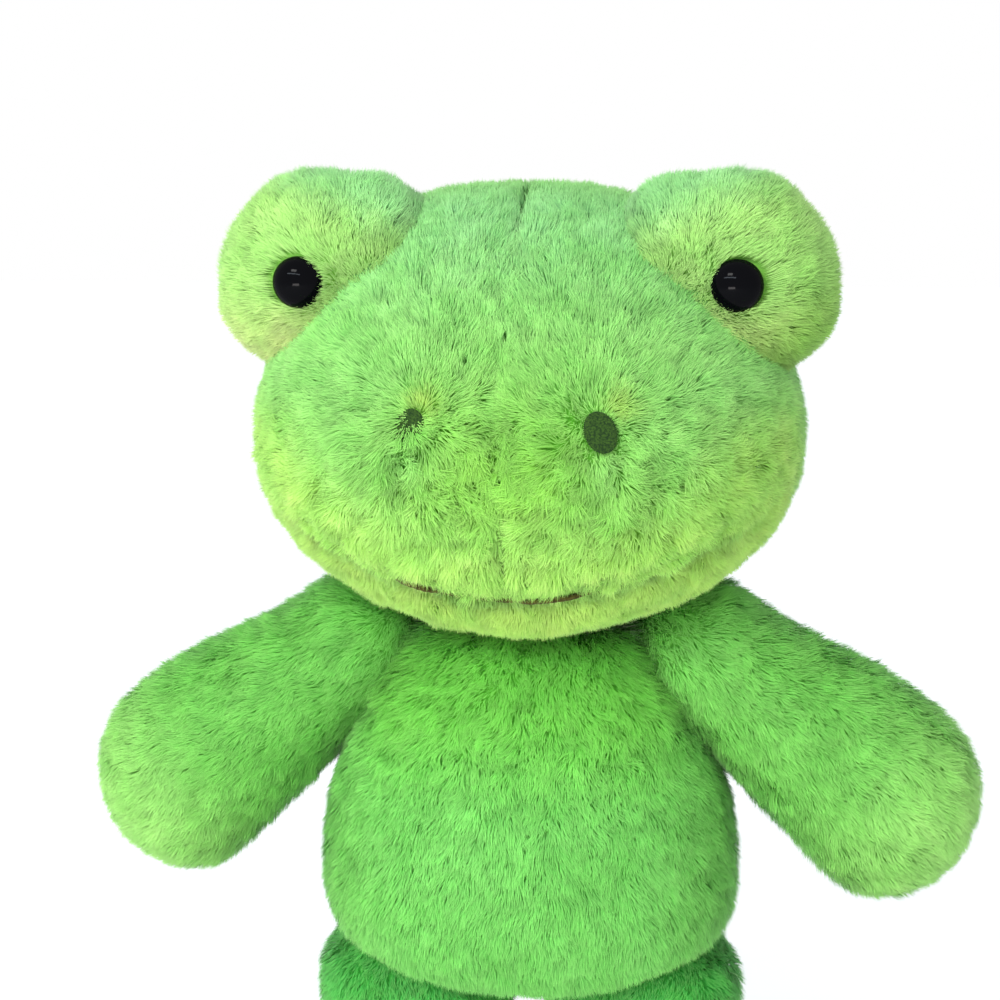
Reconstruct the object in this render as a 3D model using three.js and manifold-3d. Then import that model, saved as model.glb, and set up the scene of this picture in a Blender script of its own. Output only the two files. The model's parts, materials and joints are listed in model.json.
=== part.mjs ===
// Plush frog, standing, in millimetres: +Z is up, the face looks along -Y and the left and right
// halves mirror each other across X = 0. Head, eye bulges, torso, arms and legs are hollow shells
// of pile fabric, sewn from panels, each round its own core of fibre stuffing. Arms swing on a
// round root with a flat seat, legs swing on a ball, and the head turns on the flat seat of the neck.
import * as THREE from 'three';
import { mergeVertices } from 'three/addons/utils/BufferGeometryUtils.js';
import Module from 'manifold-3d';

const wasm = await Module();
wasm.setup();

// Fabric, clearances and cutting
const pileThickness = 6;      // backing and pile together
const backingThickness = 1.6; // the woven backing alone
const gap = 0.3;              // between pieces that touch
const jointGap = 0.5;         // between parts that turn on each other
const overrun = 500;          // a cutting block runs this far past what it cuts
const weld = 0.001;           // points nearer than this are one
const ellipse = 2;            // the power at which a ring is an ellipse

// Levels, from the floor up
const hipHeight = 97;         // centre of the legs' round roots, above the floor
const torsoAbove = 46;        // the torso's widest level, above the hips
const neckAbove = 97;         // the neck's flat seat, above the torso's widest level
const headAbove = 67;         // the head's centre, above the neck's seat
const shoulderBelow = 14;     // centre of the arms' round roots, below the neck's seat

const torsoHeight = hipHeight + torsoAbove;
const neckHeight = torsoHeight + neckAbove;
const headHeight = neckHeight + headAbove;
const shoulderHeight = neckHeight - shoulderBelow;

// Head, measured from its centre
const headForward = 4;
const headHalfWidth = 100;
const headRise = 93;
const headDrop = 70;
const headFront = 74;
const snoutReach = 12;        // what the snout adds to the front
const headBack = 70;
const headSideSeam = 10;      // the seam between face and back lies this far behind the centre

// Mouth: a smile line, a parabola in the front view
const mouthBelow = 50;        // its lowest point, below the head's centre
const mouthRise = 45;         // up to its corners
const mouthHalfWidth = 100;
const mouthThreadHalfSpan = 58;
const mouthThreadRadius = 1.1;
const mouthThreadDepth = 2.2;  // below the tips of the pile

// Nostrils
const nostrilSpread = 33;
const nostrilAbove = 11;      // over the head's centre
const nostrilHalfWidth = 5.5;
const nostrilHalfHeight = 7.5;
const nostrilThickness = 1.4;
const nostrilDepth = 3.2;     // its face, below the tips of the pile
const nostrilLean = 18;       // degrees

// Eye bulges, measured from the head's centre
const bulgeSpread = 74;
const bulgeForward = 14;
const bulgeAbove = 58;
const bulgeHalfWidth = 40;
const bulgeHalfDepth = 34;
const bulgeHalfHeight = 39;

// Plastic eyes, with a shank through the fabric and a lock washer behind it
const eyeOutwards = 1.5;       // from the bulge's centre
const eyeDown = 1.5;
const eyeRadius = 9;
const eyeDomeHeight = 7;
const shankRadius = 2.3;
const shankLength = 12;
const washerRadius = 8;
const washerThickness = 1.6;

const headTurnLimit = 20;     // degrees to either side

// Torso, measured from its widest level
const torsoHalfWidth = 79;
const torsoRise = 102;
const torsoDrop = 43;
const torsoFront = 60;
const torsoBack = 50;
const torsoSideSeam = 4;      // the seam between belly and back lies this far behind the middle
const closingLength = 60;     // the hand-closed stretch of the back seam
const closingAbove = 7;       // where that stretch begins
const closingHalfWidth = 1.6;
const closingRadius = 0.6;
const closingDepth = 1.2;
const closingStitches = 10;

// Arms, from the centre of the round root
const shoulderSpread = 63;
const shoulderRadius = 30;
const shoulderSeat = 22;      // the arm's open end is sewn on at this depth, in from the root's centre
const armLength = 121;
const armDroop = 38.5;        // degrees below level
const handHalfWidth = 38;
const handHalfDepth = 31;
const handTip = 34;           // length of the rounded end
const armBow = 4;             // the middle of the arm bends up by this

// Legs, from the centre of the round root
const hipSpread = 43;
const hipRadius = 38.5;
const ankleHeight = 48;
const ankleRadius = 32;
const footHalfWidth = 39;
const footFront = 72;
const footBack = 33;
const footHeight = 19;        // level at which the foot is broadest
const footBelow = 4;          // the round form would reach this far under the flat sole
const soleThickness = 5;

const legForwardLimit = 85;   // degrees from standing, as the frog sits

// Facets round and along the forms; inner ones are those of the stuffing and of the fabric round it
const headSides = 20;
const headBands = 12;
const headInnerSides = 14;
const headInnerBands = 8;
const torsoSides = 18;
const torsoBands = 10;
const torsoInnerSides = 12;
const torsoInnerBands = 7;
const bulgeSides = 14;
const bulgeBands = 8;
const bulgeInnerSides = 10;
const bulgeInnerBands = 6;
const limbSides = 12;
const limbInnerSides = 8;
const roomSides = 14;
const rootBands = 3;
const armBands = 3;
const legBands = 3;
const tipBands = 3;
const eyeSides = 14;
const threadSides = 5;
const mouthSteps = 8;
const nostrilSteps = 7;
const domeSteps = 4;

// Materials

function finish(color, roughness, metalness = 0) {
  return () => new THREE.MeshStandardMaterial({ color, roughness, metalness });
}

const pileGreen = finish('#74c95c', 0.95);
const pileLime = finish('#a6dc72', 0.95);
const pilePale = finish('#9ade82', 0.95);
const stuffingWhite = finish('#f0f0ea', 1);
const eyeBlack = finish('#050506', 0.08);
const washerWhite = finish('#e4e4de', 0.5);
const oliveThread = finish('#4a6a2a', 0.7);
const brownThread = finish('#6b5426', 0.75);
const greenThread = finish('#5aa545', 0.8);

// Solids

function toSolid(geometry) {
  const bare = geometry.clone();
  bare.deleteAttribute('normal');
  bare.deleteAttribute('uv');
  const merged = mergeVertices(bare, weld);
  return new wasm.Manifold(new wasm.Mesh({
    numProp: 3,
    vertProperties: new Float32Array(merged.attributes.position.array),
    triVerts: new Uint32Array(merged.index.array),
  }));
}

function toGeometry(solid) {
  const mesh = solid.getMesh();
  const geometry = new THREE.BufferGeometry();
  geometry.setAttribute('position', new THREE.BufferAttribute(mesh.vertProperties, mesh.numProp));
  geometry.setIndex(new THREE.BufferAttribute(mesh.triVerts, 1));
  geometry.computeVertexNormals();
  return geometry;
}

function piece(name, solid, material) {
  const mesh = new THREE.Mesh(toGeometry(solid), material());
  mesh.name = name;
  return mesh;
}

// A block between two corners; a corner that is left out lies an overrun away
function block({ x = [-overrun, overrun], y = [-overrun, overrun], z = [-overrun, overrun] }) {
  const geometry = new THREE.BoxGeometry(x[1] - x[0], y[1] - y[0], z[1] - z[0]);
  geometry.translate((x[0] + x[1]) / 2, (y[0] + y[1]) / 2, (z[0] + z[1]) / 2);
  return toSolid(geometry);
}

const rightOf = (place) => block({ x: [place, overrun] });
const outwardsOf = (place, side) => (side > 0 ? rightOf(place) : leftOf(-place));
const leftOf = (place) => block({ x: [-overrun, place] });
const behind = (place) => block({ y: [place, overrun] });
const before = (place) => block({ y: [-overrun, place] });
const above = (place) => block({ z: [place, overrun] });

function powered(value, power) {
  return Math.sign(value) * Math.abs(value) ** power;
}

// A closed surface through level rings. A ring reaches `width` to both sides, `front` forwards
// and `back` backwards, and is an ellipse at a square of 2 and boxier above it.
function ringSolid(rings, sides) {
  const positions = [];
  const indices = [];
  const inner = rings.slice(1, -1);
  for (const ring of inner) {
    for (let side = 0; side < sides; side++) {
      const turn = ((side + 0.5) / sides) * 2 * Math.PI;
      const across = powered(Math.cos(turn), 2 / ring.square);
      const along = powered(Math.sin(turn), 2 / ring.square);
      const reach = along * (along < 0 ? ring.front : ring.back);
      positions.push(across * ring.width + (ring.shift ?? 0), reach, ring.level);
    }
  }
  const top = inner.length * sides;
  const bottom = top + 1;
  const end = rings[rings.length - 1];
  positions.push(0, 0, rings[0].level, end.shift ?? 0, 0, end.level);
  for (let side = 0; side < sides; side++) {
    const next = (side + 1) % sides;
    const last = (inner.length - 1) * sides;
    indices.push(top, side, next, bottom, last + next, last + side);
    for (let row = 0; row < inner.length - 1; row++) {
      const upper = row * sides;
      const lower = upper + sides;
      indices.push(upper + side, lower + side, lower + next);
      indices.push(upper + side, lower + next, upper + next);
    }
  }
  const geometry = new THREE.BufferGeometry();
  geometry.setAttribute('position', new THREE.Float32BufferAttribute(positions, 3));
  geometry.setIndex(indices);
  return geometry;
}

// Head and torso: the sizes shrink by the inset, and the shares of them follow the latitude
function ringAt(form, inset, latitude) {
  const rises = latitude > 0;
  return {
    level: Math.sin(latitude) * ((rises ? form.rise : form.drop) - inset),
    width: (form.halfWidth - inset) * form.widthShare(latitude),
    front: (form.front - inset) * form.frontShare(latitude),
    back: (form.back - inset) * form.backShare(latitude),
    square: form.square,
  };
}

function roundForm(form, inset) {
  const [sides, bands] = inset > 0 ? form.innerFacets : form.facets;
  const rings = [];
  for (let band = 0; band <= bands; band++) {
    rings.push(ringAt(form, inset, Math.PI * (0.5 - band / bands)));
  }
  return ringSolid(rings, sides);
}

// How far the surface of a head or torso lies in front of (or behind) X at a level
function reachAt(form, inset, x, level, facing) {
  const height = (level > 0 ? form.rise : form.drop) - inset;
  const ring = ringAt(form, inset, Math.asin(level / height));
  const share = (1 - Math.abs(x / ring.width) ** ring.square) ** (1 / ring.square);
  return share * ring[facing];
}

function cosinePower(latitude, power) {
  return Math.max(Math.cos(latitude), 0) ** power;
}

const crownWidthPowerShare = 0.8;
const cheekWidthPowerShare = 0.95;
const foreheadPowerShare = 1.1;
const chinPowerShare = 0.45;
const napePowerShare = 0.85;
const snoutLatitudeShare = -0.26;
const snoutSpreadShare = 0.61;
const headSquareShare = 2.25;

const headForm = {
  rise: headRise,
  drop: headDrop,
  halfWidth: headHalfWidth,
  front: headFront,
  back: headBack,
  square: headSquareShare,
  facets: [headSides, headBands],
  innerFacets: [headInnerSides, headInnerBands],
  widthShare: (latitude) => {
    return cosinePower(latitude, latitude > 0 ? crownWidthPowerShare : cheekWidthPowerShare);
  },
  frontShare: (latitude) => {
    const off = (latitude - snoutLatitudeShare) / snoutSpreadShare;
    const snout = (snoutReach / headFront) * Math.exp(-off * off) * Math.cos(latitude);
    return cosinePower(latitude, latitude > 0 ? foreheadPowerShare : chinPowerShare) + snout;
  },
  backShare: (latitude) => cosinePower(latitude, napePowerShare),
};

const shoulderPowerShare = 0.7;
const hipPowerShare = 0.4;
const chestPowerShare = 0.8;
const seatPowerShare = 0.55;
const torsoSquareShare = 2.15;

const torsoForm = {
  rise: torsoRise,
  drop: torsoDrop,
  halfWidth: torsoHalfWidth,
  front: torsoFront,
  back: torsoBack,
  square: torsoSquareShare,
  facets: [torsoSides, torsoBands],
  innerFacets: [torsoInnerSides, torsoInnerBands],
  widthShare: (latitude) => cosinePower(latitude, latitude > 0 ? shoulderPowerShare : hipPowerShare),
  frontShare: (latitude) => cosinePower(latitude, latitude > 0 ? chestPowerShare : seatPowerShare),
  backShare: (latitude) => cosinePower(latitude, latitude > 0 ? chestPowerShare : seatPowerShare),
};

// Arms and legs hang down from the origin: a round root, a shaft that swells or tapers between
// its stations, and a rounded end
function limbForm(limb, inset, bow = 0) {
  const rings = [];
  const root = limb.radius - inset;
  const top = { down: 0, width: limb.radius, front: limb.radius, back: limb.radius };
  for (let band = 0; band <= rootBands; band++) {
    const turn = (band / rootBands) * (Math.PI / 2);
    const reach = root * Math.sin(turn);
    rings.push({ level: root * Math.cos(turn), width: reach, front: reach, back: reach, square: ellipse });
  }
  limb.stations.forEach((station, index) => {
    const start = limb.stations[index - 1] ?? top;
    for (let band = 1; band <= station.bands; band++) {
      const share = band / station.bands;
      const blend = share * share * (3 - 2 * share);
      const mix = (key) => start[key] + (station[key] - start[key]) * blend;
      rings.push({
        level: -(start.down + (station.down - start.down) * share),
        width: mix('width') - inset,
        front: mix('front') - inset,
        back: mix('back') - inset,
        square: ellipse,
      });
    }
  });
  const end = limb.stations[limb.stations.length - 1];
  const tip = limb.length - end.down - inset;
  for (let band = 1; band <= tipBands; band++) {
    const turn = (band / tipBands) * (Math.PI / 2);
    rings.push({
      level: -end.down - tip * Math.sin(turn),
      width: (end.width - inset) * Math.cos(turn),
      front: (end.front - inset) * Math.cos(turn),
      back: (end.back - inset) * Math.cos(turn),
      square: ellipse,
    });
  }
  for (const ring of rings) {
    ring.shift = ring.level < 0 ? bow * Math.sin((Math.PI * ring.level) / -limb.length) ** 2 : 0;
  }
  return ringSolid(rings, inset > 0 ? limbInnerSides : limbSides);
}

const arm = {
  radius: shoulderRadius,
  length: armLength,
  stations: [
    {
      down: armLength - handTip,
      width: handHalfWidth,
      front: handHalfDepth,
      back: handHalfDepth,
      bands: armBands,
    },
  ],
};

const leg = {
  radius: hipRadius,
  length: hipHeight + footBelow,
  stations: [
    {
      down: hipHeight - ankleHeight,
      width: ankleRadius,
      front: ankleRadius,
      back: ankleRadius,
      bands: legBands,
    },
    {
      down: hipHeight - footHeight,
      width: footHalfWidth,
      front: footFront,
      back: footBack,
      bands: legBands,
    },
  ],
};

// Where the limbs sit: side is 1 on the right of the picture and -1 on the left
function shoulderGroup(side) {
  const group = new THREE.Group();
  group.position.set(side * shoulderSpread, 0, shoulderHeight);
  group.rotation.y = -side * THREE.MathUtils.degToRad(90 - armDroop);
  return group;
}

function hipGroup(side) {
  const group = new THREE.Group();
  group.position.set(side * hipSpread, 0, hipHeight);
  return group;
}

// The radius of a faceted room, so that its flats clear a round root of some radius
function roomRadius(radius) {
  return (radius + jointGap) / Math.cos(Math.PI / roomSides) ** 2;
}

// A room turned about X at a limb's root, from a profile of [radius, distance outwards]
function turnedRoom(profile, side, place) {
  const points = profile.map(([radius, across]) => new THREE.Vector2(radius, across));
  const geometry = new THREE.LatheGeometry(points, roomSides);
  geometry.rotateZ(-side * Math.PI / 2);
  return toSolid(geometry.translate(place.x, place.y, place.z));
}

// Points on a round root, from its inner pole over a part of the half circle
function rootProfile(radius, sweep) {
  const steps = Math.ceil((sweep / Math.PI) * (roomSides / 2));
  const profile = [[0, -radius]];
  for (let step = 1; step <= steps; step++) {
    const turn = (step / steps) * sweep;
    profile.push([step < roomSides / 2 ? radius * Math.sin(turn) : 0, -radius * Math.cos(turn)]);
  }
  return profile;
}

// The room that an arm sweeps as it swings about X: the ball of its root down to the flat seat,
// then the cone that the underside of the arm draws as it leaves the torso
function armRoom(side) {
  const lean = THREE.MathUtils.degToRad(armDroop);
  const grown = roomRadius(shoulderRadius);
  const profile = rootProfile(grown, Math.PI / 2 - lean);
  const swell = (handHalfWidth - shoulderRadius) / (armLength - handTip);
  for (const down of [shoulderRadius, 2 * shoulderRadius]) {
    const under = grown + swell * down;
    const across = down * Math.cos(lean) - under * Math.sin(lean);
    profile.push([down * Math.sin(lean) + under * Math.cos(lean), across]);
  }
  profile.push([0, profile[profile.length - 1][1]]);
  const room = turnedRoom(profile, side, shoulderGroup(side).position);
  return room.intersect(outwardsOf(shoulderSpread - shoulderSeat - gap, side));
}

// The room of a leg's ball, and of its shaft when the frog sits
function legRoom(side) {
  const place = hipGroup(side).position;
  const grown = roomRadius(hipRadius);
  const shaft = new THREE.CylinderGeometry(grown, grown, hipHeight, roomSides);
  shaft.translate(0, -hipHeight / 2, 0);
  shaft.rotateX(THREE.MathUtils.degToRad(90 - legForwardLimit));
  shaft.translate(place.x, place.y, place.z);
  return turnedRoom(rootProfile(grown, Math.PI), side, place).add(toSolid(shaft));
}

// The track that a shoulder draws under the head as the head turns about the neck
function shoulderTrack(side) {
  const radius = roomRadius(shoulderRadius);
  const limit = THREE.MathUtils.degToRad(headTurnLimit);
  const level = shoulderHeight - headHeight;
  const spot = (turn) => new THREE.Vector3(
    side * shoulderSpread * Math.cos(turn), headForward + shoulderSpread * Math.sin(turn), level);
  const turns = [-limit, -limit / 3, limit / 3, limit];
  const track = thread(turns.map(spot), radius, roomSides);
  const ends = [-limit, limit].map((turn) => turnedRoom(rootProfile(radius, Math.PI), side, spot(turn)));
  return track.add(ends[0]).add(ends[1]);
}

// A thread along a curve
function thread(points, radius, sides = threadSides) {
  const section = new THREE.Shape();
  for (let side = 0; side < sides; side++) {
    const turn = (side / sides) * 2 * Math.PI;
    const spot = [radius * Math.cos(turn), radius * Math.sin(turn)];
    if (side === 0) section.moveTo(...spot);
    else section.lineTo(...spot);
  }
  return toSolid(new THREE.ExtrudeGeometry(section, {
    steps: 2 * (points.length - 1),
    bevelEnabled: false,
    extrudePath: new THREE.CatmullRomCurve3(points),
  }));
}

// Sets a geometry that is drawn upright and looks along +Z at a point, to look outwards there
function facing(geometry, outwards, point) {
  const right = new THREE.Vector3(0, 0, 1).cross(outwards).normalize();
  const up = new THREE.Vector3().crossVectors(outwards, right);
  const basis = new THREE.Matrix4().makeBasis(right, up, outwards);
  return geometry.applyMatrix4(basis.setPosition(point));
}

function revolved(profile) {
  const points = profile.map(([radius, along]) => new THREE.Vector2(radius, along));
  return new THREE.LatheGeometry(points, eyeSides).rotateX(Math.PI / 2);
}

// Head

function headSolids() {
  const outer = toSolid(roundForm(headForm, 0));
  let seat = above(-headAbove);
  for (const side of [1, -1]) {
    seat = seat.subtract(shoulderTrack(side)).subtract(eyeRoom(side));
  }
  const skin = outer.subtract(toSolid(roundForm(headForm, pileThickness))).intersect(seat);
  const core = toSolid(roundForm(headForm, pileThickness + gap)).intersect(seat);
  return { skin, core };
}

function mouthLevel(x) {
  return -mouthBelow + mouthRise * (x / mouthHalfWidth) ** 2;
}

// Everything under the smile line, moved up or down by half the seam
function underMouth(shift) {
  const reachShare = 1.2;
  const half = mouthHalfWidth * reachShare;
  const high = mouthLevel(half) + shift;
  const low = -mouthBelow + shift;
  const shape = new THREE.Shape();
  shape.moveTo(-half, high);
  shape.quadraticCurveTo(0, 2 * low - high, half, high);
  shape.lineTo(half, -overrun);
  shape.lineTo(-half, -overrun);
  const options = { depth: overrun, bevelEnabled: false, curveSegments: mouthSteps };
  const geometry = new THREE.ExtrudeGeometry(shape, options);
  geometry.rotateX(Math.PI / 2);
  return toSolid(geometry.translate(0, headSideSeam, 0));
}

function headPoint(x, level, depth) {
  return new THREE.Vector3(x, -reachAt(headForm, depth, x, level, 'front'), level);
}

// The outward direction of the face at a point, from two short steps along it
function headNormal(x, level) {
  const step = nostrilHalfWidth;
  const here = headPoint(x, level, 0);
  const aside = headPoint(x + step, level, 0).sub(here);
  const up = headPoint(x, level + step, 0).sub(here);
  return aside.cross(up).normalize();
}

function nostril(side, grow, thickness) {
  const shape = new THREE.Shape();
  shape.absellipse(0, 0, nostrilHalfWidth + grow, nostrilHalfHeight + grow, 0, 2 * Math.PI);
  const options = { depth: thickness, bevelEnabled: false, curveSegments: nostrilSteps };
  const geometry = new THREE.ExtrudeGeometry(shape, options);
  geometry.rotateZ(side * THREE.MathUtils.degToRad(nostrilLean));
  const normal = headNormal(side * nostrilSpread, nostrilAbove);
  const spot = headPoint(side * nostrilSpread, nostrilAbove, 0);
  const floor = spot.addScaledVector(normal, -nostrilDepth - nostrilThickness - grow);
  return toSolid(facing(geometry, normal, floor));
}

function mouthThread(grow) {
  const points = [];
  const half = mouthThreadHalfSpan + grow;
  for (let step = 0; step <= mouthSteps; step++) {
    const x = half * ((2 * step) / mouthSteps - 1);
    points.push(headPoint(x, mouthLevel(x), mouthThreadDepth));
  }
  return thread(points, mouthThreadRadius + grow);
}

function buildHead() {
  const head = new THREE.Group();
  head.position.set(0, -headForward, headHeight);
  const { skin, core } = headSolids();
  const front = skin.intersect(before(headSideSeam - gap / 2));
  const groove = mouthThread(gap);
  const jaw = front.intersect(underMouth(-gap / 2)).subtract(groove);
  const face = front.subtract(underMouth(gap / 2)).subtract(groove);
  const faceRight = face.intersect(rightOf(gap / 2)).subtract(nostril(1, gap, pileThickness));
  const faceLeft = face.intersect(leftOf(-gap / 2)).subtract(nostril(-1, gap, pileThickness));
  const back = skin.intersect(behind(headSideSeam + gap / 2));
  head.add(piece('face_panel_right', faceRight, pileGreen));
  head.add(piece('face_panel_left', faceLeft, pileGreen));
  head.add(piece('jaw_panel', jaw, pileLime));
  head.add(piece('head_back_panel', back, pileGreen));
  head.add(piece('head_stuffing', core, stuffingWhite));
  head.add(piece('nostril_right', nostril(1, 0, nostrilThickness), oliveThread));
  head.add(piece('nostril_left', nostril(-1, 0, nostrilThickness), oliveThread));
  head.add(piece('mouth_thread', mouthThread(0), brownThread));
  for (const side of [1, -1]) {
    addEyeBulge(head, side);
  }
  return head;
}

// Eye bulge, with its eye: cut where it is sewn on the head

function bulgeSolid(side, inset) {
  const [sides, bands] = inset > 0 ? [bulgeInnerSides, bulgeInnerBands] : [bulgeSides, bulgeBands];
  const rings = [];
  for (let band = 0; band <= bands; band++) {
    const latitude = Math.PI * (0.5 - band / bands);
    rings.push({
      level: Math.sin(latitude) * (bulgeHalfHeight - inset),
      width: Math.cos(latitude) * (bulgeHalfWidth - inset),
      front: Math.cos(latitude) * (bulgeHalfDepth - inset),
      back: Math.cos(latitude) * (bulgeHalfDepth - inset),
      square: ellipse,
    });
  }
  const geometry = ringSolid(rings, sides);
  return toSolid(geometry.translate(side * bulgeSpread, -bulgeForward, bulgeAbove));
}

// Where the eye sits on the bulge, and which way it looks
function eyeSeat(side) {
  const x = side * eyeOutwards;
  const z = -eyeDown;
  const share = 1 - (x / bulgeHalfWidth) ** 2 - (z / bulgeHalfHeight) ** 2;
  const y = -bulgeHalfDepth * Math.sqrt(share);
  const slopes = [x / bulgeHalfWidth ** 2, y / bulgeHalfDepth ** 2, z / bulgeHalfHeight ** 2];
  const spot = new THREE.Vector3(x + side * bulgeSpread, y - bulgeForward, z + bulgeAbove);
  return { normal: new THREE.Vector3(...slopes).normalize(), spot };
}

function eyePart(side, profile) {
  const { normal, spot } = eyeSeat(side);
  const seat = spot.addScaledVector(normal, backingThickness - pileThickness);
  return toSolid(facing(revolved(profile), normal, seat));
}

function eyeSolid(side) {
  const dome = [];
  for (let step = 0; step <= domeSteps; step++) {
    const turn = (step / domeSteps) * (Math.PI / 2);
    dome.push([eyeRadius * Math.cos(turn), eyeDomeHeight * Math.sin(turn)]);
  }
  dome[domeSteps][0] = 0;
  return eyePart(side, [[0, -shankLength], [shankRadius, -shankLength], [shankRadius, 0], ...dome]);
}

function washerSolid(side) {
  const face = -backingThickness - gap;
  const bore = shankRadius + gap;
  const corners = [[bore, face - washerThickness], [washerRadius, face - washerThickness]];
  return eyePart(side, [...corners, [washerRadius, face], [bore, face], corners[0]]);
}

// The pocket in the pile round the dome, the hole for the shank and the room for the washer
function eyeRoom(side) {
  const bore = shankRadius + gap;
  const face = -backingThickness;
  const washerEnd = face - washerThickness - 2 * gap;
  const end = -shankLength - gap;
  const rim = washerRadius + gap;
  const mouth = eyeDomeHeight + pileThickness;
  const hole = [[0, end], [bore, end], [bore, washerEnd]];
  const washerRoom = [[rim, washerEnd], [rim, face], [bore, face], [bore, -gap]];
  const pocket = [[eyeRadius + gap, -gap], [eyeRadius + gap, mouth], [0, mouth]];
  return eyePart(side, [...hole, ...washerRoom, ...pocket]);
}

function addEyeBulge(head, side) {
  const name = side > 0 ? 'right' : 'left';
  const room = eyeRoom(side);
  const seam = toSolid(roundForm(headForm, -gap));
  const skin = bulgeSolid(side, 0).subtract(bulgeSolid(side, pileThickness)).subtract(seam).subtract(room);
  const core = bulgeSolid(side, pileThickness + gap).subtract(seam).subtract(room);
  head.add(piece(`eye_bulge_${name}_front`, skin.intersect(before(-bulgeForward - gap / 2)), pileLime));
  head.add(piece(`eye_bulge_${name}_back`, skin.intersect(behind(-bulgeForward + gap / 2)), pileLime));
  head.add(piece(`eye_bulge_${name}_stuffing`, core, stuffingWhite));
  head.add(piece(`eye_${name}`, eyeSolid(side), eyeBlack));
  head.add(piece(`eye_washer_${name}`, washerSolid(side), washerWhite));
}

// Torso

function backSeamPoint(x, level) {
  return new THREE.Vector3(x, reachAt(torsoForm, closingDepth, x, level, 'back'), level);
}

function closingStitch(grow) {
  const points = [];
  for (let stitch = 0; stitch <= closingStitches; stitch++) {
    const level = closingAbove + (closingLength * stitch) / closingStitches;
    points.push(backSeamPoint(stitch % 2 ? closingHalfWidth : -closingHalfWidth, level));
  }
  return thread(points, closingRadius + grow);
}

function limbRoom() {
  const rooms = [];
  for (const side of [1, -1]) {
    rooms.push(armRoom(side), legRoom(side));
  }
  return rooms.reduce((whole, room) => whole.add(room)).translate([0, 0, -torsoHeight]);
}

function buildTorso() {
  const torso = new THREE.Group();
  torso.position.z = torsoHeight;
  const outer = toSolid(roundForm(torsoForm, 0));
  const room = limbRoom().add(above(neckAbove - jointGap));
  const skin = outer.subtract(toSolid(roundForm(torsoForm, pileThickness))).subtract(room);
  const core = toSolid(roundForm(torsoForm, pileThickness + gap)).subtract(room);
  const back = skin.intersect(behind(torsoSideSeam + gap / 2)).subtract(closingStitch(gap));
  torso.add(piece('belly_panel', skin.intersect(before(torsoSideSeam - gap / 2)), pileGreen));
  torso.add(piece('back_panel_right', back.intersect(rightOf(gap / 2)), pileGreen));
  torso.add(piece('back_panel_left', back.intersect(leftOf(-gap / 2)), pileGreen));
  torso.add(piece('torso_stuffing', core, stuffingWhite));
  torso.add(piece('back_closing_stitch', closingStitch(0), greenThread));
  return torso;
}

// Arms and legs

function buildArm(side) {
  const name = side > 0 ? 'right' : 'left';
  const group = shoulderGroup(side);
  const bow = side * armBow;
  const seat = outwardsOf(-shoulderSeat, side).rotate([0, side * (90 - armDroop), 0]);
  const outer = toSolid(limbForm(arm, 0, bow)).intersect(seat);
  const skin = outer.subtract(toSolid(limbForm(arm, pileThickness, bow)));
  const core = toSolid(limbForm(arm, pileThickness + gap, bow)).intersect(seat);
  group.add(piece(`arm_${name}_front`, skin.intersect(before(-gap / 2)), pilePale));
  group.add(piece(`arm_${name}_back`, skin.intersect(behind(gap / 2)), pilePale));
  group.add(piece(`arm_${name}_stuffing`, core, stuffingWhite));
  return group;
}

function buildLeg(side) {
  const name = side > 0 ? 'right' : 'left';
  const group = hipGroup(side);
  const floor = above(-hipHeight);
  const overSole = above(soleThickness + gap - hipHeight);
  const outer = toSolid(limbForm(leg, 0));
  const skin = outer.subtract(toSolid(limbForm(leg, pileThickness))).intersect(overSole);
  const core = toSolid(limbForm(leg, pileThickness + gap)).intersect(overSole);
  const sole = outer.intersect(floor).subtract(above(soleThickness - hipHeight));
  group.add(piece(`leg_${name}_front`, skin.intersect(before(-gap / 2)), pileGreen));
  group.add(piece(`leg_${name}_back`, skin.intersect(behind(gap / 2)), pileGreen));
  group.add(piece(`leg_${name}_sole`, sole, pileGreen));
  group.add(piece(`leg_${name}_stuffing`, core, stuffingWhite));
  return group;
}

// The whole frog, with the middle of its box over the origin

const frog = new THREE.Group();
frog.add(buildTorso(), buildHead());
for (const side of [1, -1]) {
  frog.add(buildArm(side), buildLeg(side));
}
const box = new THREE.Box3().setFromObject(frog, true);
frog.position.y = -(box.min.y + box.max.y) / 2;

export default frog;
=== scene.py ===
import functools
import json
import math

import bpy
import numpy as np
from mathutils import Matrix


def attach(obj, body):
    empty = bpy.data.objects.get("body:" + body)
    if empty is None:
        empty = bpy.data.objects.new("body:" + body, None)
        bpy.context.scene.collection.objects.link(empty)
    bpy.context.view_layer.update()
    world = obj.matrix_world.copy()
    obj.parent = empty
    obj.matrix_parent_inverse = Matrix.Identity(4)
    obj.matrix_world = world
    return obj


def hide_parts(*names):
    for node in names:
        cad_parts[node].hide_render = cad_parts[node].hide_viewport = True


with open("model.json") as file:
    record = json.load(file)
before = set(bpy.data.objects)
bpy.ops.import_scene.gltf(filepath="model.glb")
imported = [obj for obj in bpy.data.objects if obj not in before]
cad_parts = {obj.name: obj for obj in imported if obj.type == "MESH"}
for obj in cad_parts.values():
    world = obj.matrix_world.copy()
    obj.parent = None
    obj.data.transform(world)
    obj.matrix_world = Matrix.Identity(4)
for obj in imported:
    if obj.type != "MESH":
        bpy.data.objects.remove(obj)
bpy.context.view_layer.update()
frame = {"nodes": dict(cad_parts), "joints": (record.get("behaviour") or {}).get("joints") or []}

mm = 0.001
pivot = {joint["child"]: np.array(joint["pos_m"]) / mm for joint in frame["joints"]}
sides = {"right": 1, "left": -1}    # right is +X


# Small helpers

def unit(vectors):    # each vector over its own length
    return vectors / np.maximum(np.linalg.norm(vectors, axis=-1, keepdims=True), 1e-9)


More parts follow.
